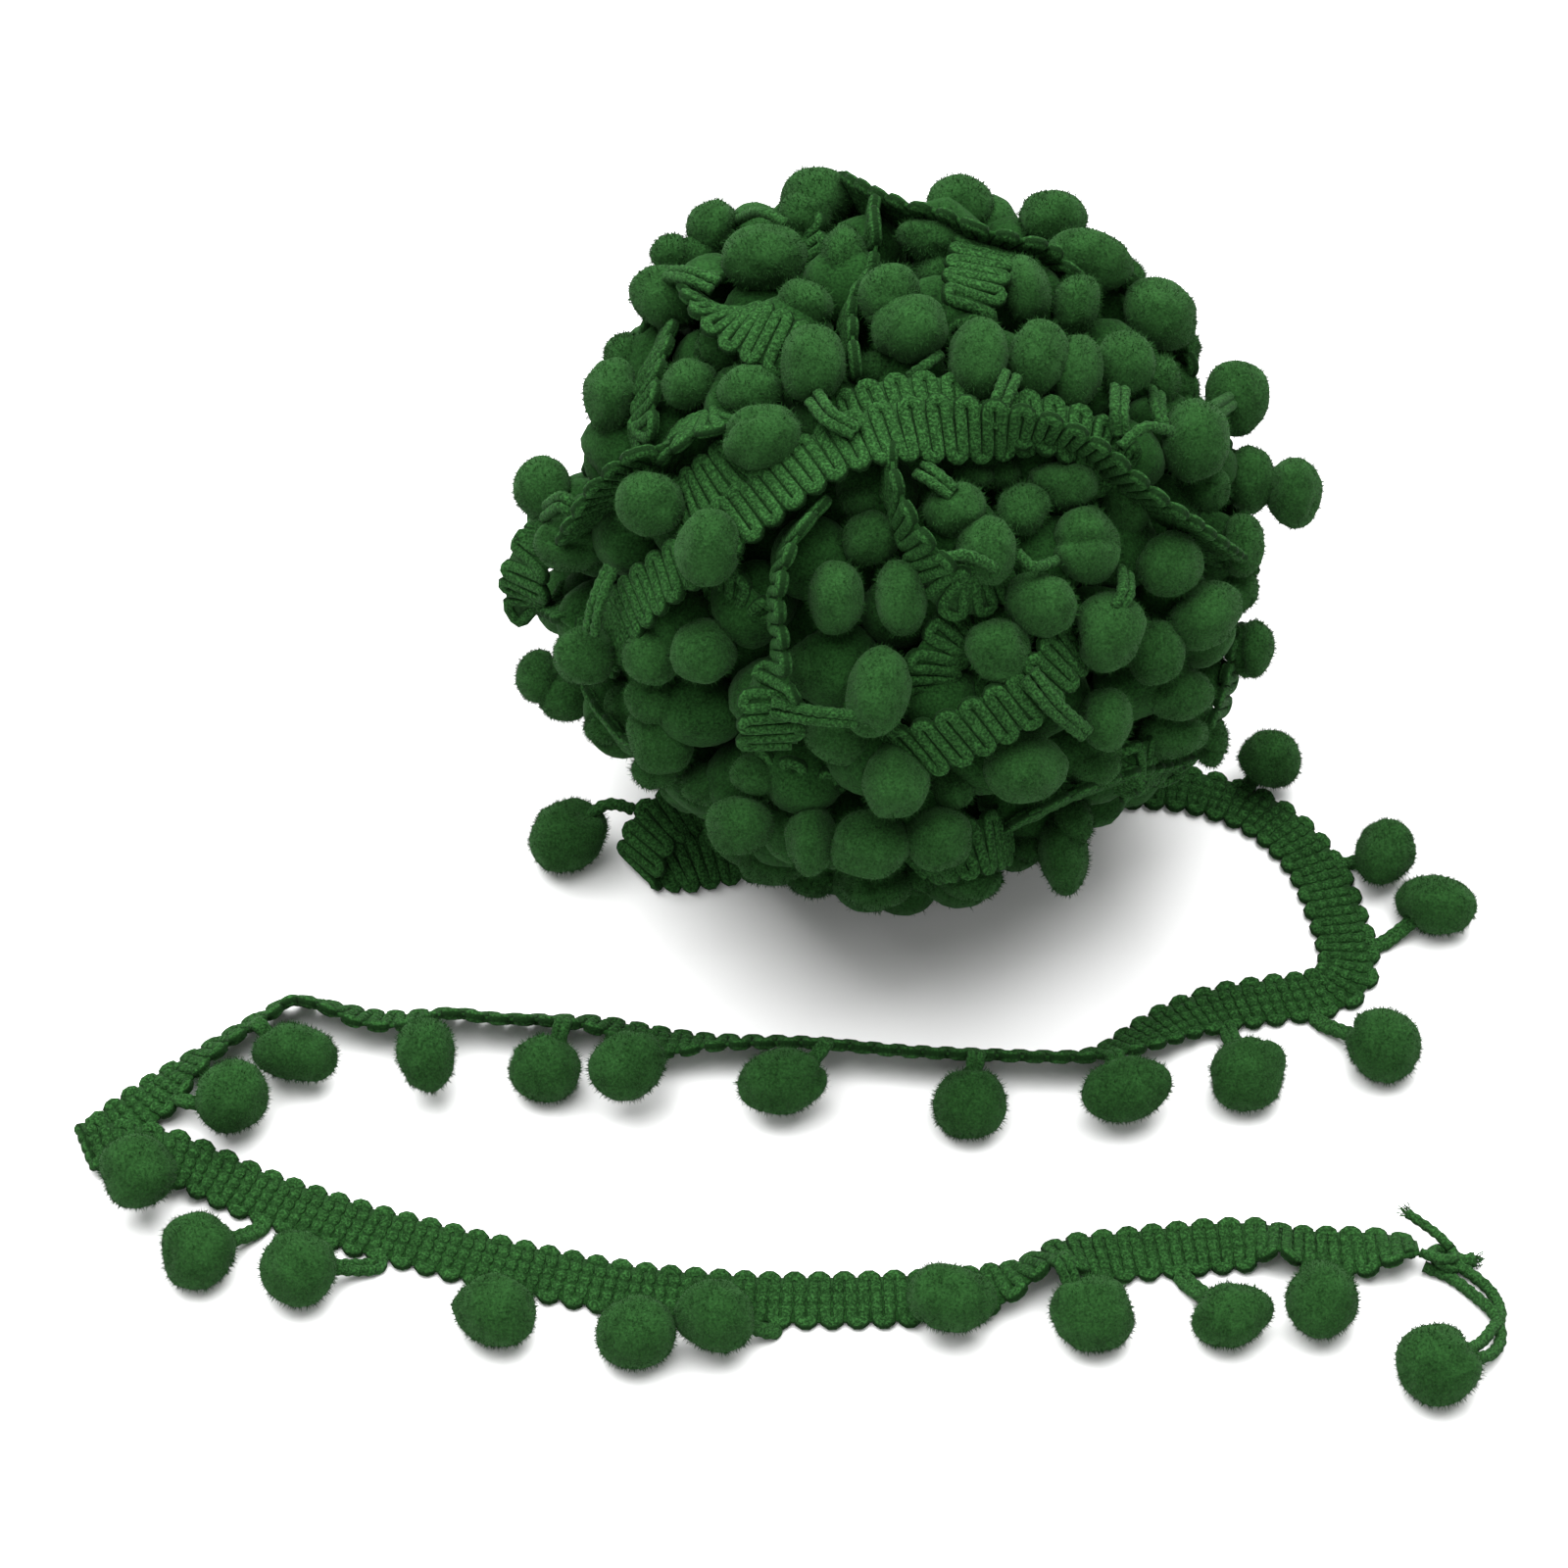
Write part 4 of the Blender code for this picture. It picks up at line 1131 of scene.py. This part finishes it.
# %% Tape of the loose end
TAPE_THICK = 1.9
TAPE_STATIONS = (
    # x, y, lift, across, lean
    (21.4, -2, 0, 92, 0), (32, -1, 0, 93, 0), (43.5, -0.8, 0, 86, 0), (51, -2.2, 0, 74, 0),
    (57.7, -5.2, 0, 60, 0), (62.2, -8.8, 0, 47, 0), (65.3, -12.8, 0, 33, 0), (67.6, -17, 0, 24, 0),
    (69.3, -22, 0, 15, 0), (70.5, -28, 0, 9, 0), (71.4, -33.5, 0, 3, 0), (71.4, -38.4, 0, -14, 0),
    (69.5, -42.2, 0, -44, 0), (65.2, -44.2, 0, -68, 0), (59.2, -45.2, 0, -77, 0),
    (51.5, -46.9, 0, -72, 4), (44.5, -50, 0, -62, 14), (38.6, -54, 0, -58, 28), (33.8, -57.3, 0, -66, 42),
    (28.6, -58.9, 0, -83, 49), (18.4, -58.8, 0, -91, 50), (2, -57.9, 0, -93, 50),
    (-12.3, -56.3, 0, -93, 50), (-26.6, -56, 0, -92, 44), (-33, -55.6, 0, -97, 30),
    (-39, -54.2, 0, -104, 32), (-45.5, -52.4, 0, -101, 44), (-53, -51.9, 0, -90, 50),
    (-60.2, -51.6, 0, -95, 50), (-67.3, -50.6, 0, -92, 50), (-74.4, -51.6, 0, -86, 40),
    (-80, -51.3, 0, -100, 40), (-86, -49.3, 0, -110, 50), (-91.4, -48.2, 0, -85, 52),
    (-96.2, -51.6, 0, -50, 48), (-101, -55.6, 0, -50, 46), (-106, -60, 0, -47, 36),
    (-111, -64.8, 0, -46, 14), (-115.5, -69, 0, -54, 0), (-119, -73, 0, -66, 0),
    (-120.2, -74.6, 1.15, -67, 0), (-119, -74, 2.35, -68, 0), (-114.5, -75, 2.4, -80, 0),
    (-109, -76.2, 2.3, -97, 0), (-103, -78.2, 1.1, -106, 0), (-96, -81.4, 0.1, -113, 0),
    (-89, -84.4, 0, -112, 0), (-79, -88.2, 0, -110, 0), (-69.4, -91.2, 0, -107, 0),
    (-56.3, -95, 0, -105, 0), (-39.1, -99, 0, -101, 0), (-22, -100.8, 0, -95, 0), (-9, -101, 0, -90, 0),
    (4, -100.6, 0, -87, 0), (12.5, -99.8, 0, -82, 8), (17.6, -98.4, 0, -66, 34), (21.4, -96, 0, -60, 46),
    (25.4, -94.4, 0, -74, 24), (31, -93.5, 0, -82, 4), (41.8, -92, 0, -83, 0), (51, -91.3, 0, -90, 2),
    (56, -91.9, 0, -100, 30), (60, -92.8, 0, -96, 14), (67, -93, 0, -90, 6), (72, -93.3, 0, -94, 26),
    (76, -94, 0, -98, 42),
)


def compass(angle):
    """Level unit vectors at these angles in degrees from +X."""
    turn = np.radians(angle)
    return np.stack((np.cos(turn), np.sin(turn), np.zeros_like(turn)), -1)


stations = smooth_line(TAPE_STATIONS, 0.6)
lean = np.radians(stations[:, 4])
tape_way = compass(stations[:, 3]) * np.cos(lean)[:, None]
tape_way[:, 2] = np.sin(lean)
rise = TAPE_WIDTH / 2 * np.abs(np.sin(lean)) + TAPE_THICK / 2 * np.cos(lean)
tape_middle = stations[:, :3].copy()
tape_middle[:, 2] = np.maximum(stations[:, 2], 0) + rise
tape_run = run_along(tape_middle)

# The back of the tape, with its cushions, shows up to the last stretch, where the front comes up.
# The pinch also sets how much painted shade darkens the pinches.
PINCH_MARKS = ((0, 0.42), (380, 0.42), (410, 0.2), (500, 0.2))
pinch = np.interp(tape_run, *zip(*PINCH_MARKS))
tail_heap = Heap()
tail_length = weave_tape(tail_heap, tape_middle, tape_way, pinch, MANY_STEPS)
tail_tape = tail_heap.make("tail_tape_ribs", yarn)
print("loose end:", round(tail_length), "mm of tape")

# %% [markdown]
# The chains that hold the ribs are mostly buried. A thin strip in the middle of the tape stands for them:
# it closes the pinholes between the ribs, which would otherwise show the floor.

# %% Chains of the tape
CHAIN_WIDTH = 7.6
CHAIN_THICK = 0.5
CHAIN_CORNERS = ((-1, -1), (1, -1), (1, 1), (-1, 1))
STRIP_SHORT = 3


def chain_strip(heap, middle, way):
    """A flat closed strip inside the tape, four corners at each station."""
    line = middle[::2]
    across = way[::2]
    face = unit(np.cross(heading(line), across))
    corners = [across * a * CHAIN_WIDTH / 2 + face * b * CHAIN_THICK / 2 for a, b in CHAIN_CORNERS]
    points = (line[:, None] + np.stack(corners, 1)).reshape(-1, 3)
    _, _, faces = wall(len(line), 4)
    ends = np.array(((3, 2, 1, 0), (0, 1, 2, 3)))
    ends[1] += (len(line) - 1) * 4
    faces = np.concatenate((faces, ends))
    heap.add(points, faces, np.zeros((len(faces), 4, 2)))


# The chain strips use the felt painted darker as shade, so the pinholes look shaded.
tail_chains = Heap()
chain_strip(tail_chains, tape_middle, tape_way)
tail_chain_piece = tail_chains.make("tail_tape_chains", shade_darkened_felt)
ball_chains = Heap()
for middle, way in seen_bands + back_bands:
    chain_strip(ball_chains, middle[STRIP_SHORT:-STRIP_SHORT], way[STRIP_SHORT:-STRIP_SHORT])
chain_strip(ball_chains, loop_line, loop_way)
ball_chains.make("ball_tape_chains", shade_darkened_felt)

# %% [markdown]
# ## Loose end: the fringe
# Rows repeat the solids': run, middle, long and short size, direction of the long side, height of the
# underside, and how far along the tape the cords start from the place nearest to the pompom.

# %% Fringe of the loose end
TAIL_POMPOMS = (
    # run, x, y, long, short, turn, lift, shift
    (1, 61.5, -0.6, 11, 9.5, -10, 2.4, -2), (1, 78.3, -19.7, 12.5, 10.5, 60, 1.1, -3),
    (1, 85.4, -29.1, 13, 10, -20, 0, 3),
    (2, 74.5, -57.8, 12, 11.5, 0, 0, 3), (2, 53.3, -62.9, 12, 11, 45, 0, -3),
    (2, 34.9, -67.4, 13, 10, 15, 2.3, 0),
    (3, 10.8, -68.8, 12, 11, 45, 0, -1.5), (3, -16.6, -66, 14, 10, 10, 2.6, -7),
    (4, -39.3, -64.5, 12.5, 10.5, 30, 4.7, -1), (4, -52.2, -62, 11.5, 11, -10, 0, -2.5),
    (5, -70.1, -61.8, 12, 9.5, 90, 4.6, 0), (5, -89.6, -60.2, 14, 9.5, -10, 2.1, 2),
    (5, -98.8, -69, 12, 11.5, 0, 1.7, 3),
    (6, -110.8, -84.3, 12, 11.5, 0, 4, 0), (6, -101.1, -95.4, 12, 11.5, 45, 0, 4),
    (6, -86.6, -98.5, 12, 11.5, 0, 0, 9),
    (7, -58, -105.8, 13, 11, -25, 0, 0), (7, -37.8, -109.6, 12.5, 11, 0, 0, 0),
    (7, -26.1, -108, 12, 11, 0, 2, 8),
    (8, 7.6, -105.4, 13.5, 10.5, 0, 2.3, 0),
    (9, 27.9, -106.4, 12.5, 11.5, -30, 0, -5), (9, 47.8, -106.3, 13, 10.5, 15, 0, -5),
    (9, 61, -104.3, 12, 10.5, 90, 1, -1),
)
RUN_COUNT = 9
CORD_ROOT = 3.2
TAIL_GAPS = (1.0, 1.7)
UNDER_FIBRES = 0.95
FLATTER = 0.97
UP = np.array((0.0, 0.0, 1.0))

tape_edge = tape_middle + tape_way * TAPE_WIDTH / 2
fringe = []
for run in range(1, RUN_COUNT + 1):
    felt_heap = Heap()
    cord_heap = Heap()
    for _, x, y, long, short, turn, lift, shift in (row for row in TAIL_POMPOMS if row[0] == run):
        place = np.array((x, y, lift + short / 2 * FLATTER))
        nearest = int(np.argmin(np.linalg.norm(tape_edge[:, :2] - place[:2], axis=1)))
        root = int(np.argmin(np.abs(tape_run - tape_run[nearest] - shift)))
        start = tape_middle[root] + tape_way[root] * CORD_ROOT
        edge = tape_middle[root] + tape_way[root] * (TAPE_WIDTH / 2 + 0.4)
        inward = unit(edge - place)
        long_way = compass(np.array(float(turn)))
        short_way = compass(np.array(turn + 90.0))
        axes = np.stack((long_way * long, short_way * short, np.array((0, 0, short)))) / 2 * UNDER_FIBRES
        groove = 0.14 if draw.random() < 0.35 else 0.0
        add_pompom(felt_heap, draw, place, axes, inward, fibres=TAIL_FIBRES, groove=groove)
        enter = place + inward * short / 2 * 0.45 + np.array((0, 0, 0.8))
        mid = (edge + enter) / 2
        mid[2] = max(mid[2] * 0.8, YARN / 2)
        lay_pair(cord_heap, (start, edge, mid, enter), UP, gap=draw.uniform(*TAIL_GAPS))
    pompoms = felt_heap.make(f"fringe_pompoms_{run}", felt)
    cords = cord_heap.make(f"fringe_cords_{run}", cord_yarn)
    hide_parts(f"fringe_run_{run}")
    fringe += [pompoms, cords]

# %% [markdown]
# ## Loose end: the knot
# The tape's last yarns are gathered and tied. One yarn is left as a raw end that points back, another
# frays out in a short brush, and two go on as long cords, cross, and carry the last pompom.

# %% Knot
KNOT_LINE = (
    (76.4, -94.2, 3.2), (79.2, -95.6, 3.6), (81.4, -94.6, 2.6), (80.8, -92.6, 1.4), (78.6, -92.8, 2.0),
    (78.4, -95.0, 3.0), (80.6, -96.2, 2.0), (82.4, -94.8, 1.2), (81.0, -93.0, 2.6),
)
RAW_END = ((81.0, -93.0, 2.6), (79.6, -91.2, 2.9), (78.0, -89.2, 2.6), (75.4, -86.6, 2.4))
FRAYED_END = ((79.6, -94.6, 1.9), (82.0, -94.6, 1.6), (84.4, -94.2, 1.4))
LAST_CORDS = (
    (
        (77.0, -95.2, 1.2), (80.6, -97.0, 1.0), (83.6, -100.0, 1.0), (86.2, -104.0, 1.6),
        (86.6, -108.0, 1.4), (84.4, -111.6, 2.6), (80.0, -113.8, 5.0),
    ),
    (
        (77.6, -94.2, 2.6), (82.4, -95.8, 1.6), (86.2, -99.4, 1.0), (87.2, -103.4, 1.0),
        (85.2, -107.4, 2.8), (82.6, -110.8, 4.0), (79.0, -113.2, 6.0),
    ),
)
LAST_POMPOM = (76, -115, 12.5, 12)
BRUSH = 26

knot_heap = Heap()
THICKNESSES = (1.5, 1.5, 2.2, 1.8, 1.8)
for marks, thickness in zip((KNOT_LINE, RAW_END, FRAYED_END, *LAST_CORDS), THICKNESSES):
    lay_cord(knot_heap, marks, UP, thickness)
for tip, towards in ((RAW_END[-1], (-1.0, 1.4, 0.2)), (FRAYED_END[-1], (1.0, 0.1, 0.0))):
    for _ in range(BRUSH):
        root = np.array(tip) + draw.normal(size=3) * (0.35, 0.35, 0.25)
        end = root + unit(np.array(towards) + draw.normal(size=3) * 0.6) * draw.uniform(0.7, 1.7)
        end[2] = max(end[2], 0.1)
        bent = (root + end) / 2 + draw.normal(size=3) * 0.12
        lay_cord(knot_heap, (root, bent, end), (0.3, 0.2, 0.9), 0.16)
knot_cords = knot_heap.make("knot_and_last_cords", cord_yarn)
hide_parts("end_knot")

last_heap = Heap()
x, y, long, short = LAST_POMPOM
last_axes = np.diag((long / 2, short / 2, short / 2 * FLATTER))
last_place = np.array((x, y, short / 2 * FLATTER))
last_dent = unit(np.array((0.8, 0.3, 0.3)))
add_pompom(last_heap, draw, last_place, last_axes, last_dent, fibres=TAIL_FIBRES, groove=0.12)
last_pompom = last_heap.make("last_pompom", felt)

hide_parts("tail_tape")

# %% [markdown]
# ## Table and light
# The trim lies on a plain white table under soft studio light: one wide lamp overhead and a weaker one
# from the viewer's side, with an even glow all round.

# %% Floor
floor_mesh = bpy.data.meshes.new("floor")
HALF = 6.0
floor_corners = [(-HALF, -HALF, 0), (HALF, -HALF, 0), (HALF, HALF, 0), (-HALF, HALF, 0)]
floor_mesh.from_pydata(floor_corners, [], [(0, 1, 2, 3)])
floor = in_scene("floor", floor_mesh)
floor_material = bpy.data.materials.new("white_table")
floor_material.use_nodes = True
floor_tree = floor_material.node_tree
floor_shader = floor_tree.nodes["Principled BSDF"]
set_inputs(floor_shader, {"Roughness": 0.8})
floor_where = add_node(floor_tree, "ShaderNodeTexCoord")
floor_noise = add_node(floor_tree, "ShaderNodeTexNoise")
set_inputs(floor_noise, {"Scale": 40.0})
floor_tree.links.new(floor_where.outputs["Object"], floor_noise.inputs["Vector"])
floor_ramp = add_node(floor_tree, "ShaderNodeValToRGB")
floor_ramp.color_ramp.elements[0].color = (0.86, 0.86, 0.86, 1)
floor_ramp.color_ramp.elements[1].color = (0.90, 0.90, 0.90, 1)
floor_tree.links.new(floor_noise.outputs["Fac"], floor_ramp.inputs["Fac"])
floor_tree.links.new(floor_ramp.outputs["Color"], floor_shader.inputs["Base Color"])
floor_mesh.materials.append(floor_material)

# %% Lights


def soft_lamp(name, place, target, size, power):
    data = bpy.data.lights.new(name, "AREA")
    data.shape = "SQUARE"
    data.size = size
    data.energy = power
    lamp = in_scene(name, data)
    lamp.location = place
    lamp.rotation_euler = (Vector(place) - Vector(target)).to_track_quat("Z", "Y").to_euler()
    return lamp


soft_lamp("overhead", (-0.10, 0.15, 1.1), (0, -0.03, 0), size=1.5, power=48.0)
soft_lamp("front", (0.1, -1.1, 0.7), (0, 0, 0.03), size=1.0, power=2.5)
world = bpy.data.worlds.new("studio")
world.use_nodes = True
set_inputs(world.node_tree.nodes["Background"], {"Color": (1, 1, 1, 1), "Strength": 0.32})
bpy.context.scene.world = world
bpy.context.scene.view_settings.view_transform = "Standard"
print("lights:", len(bpy.data.lights))
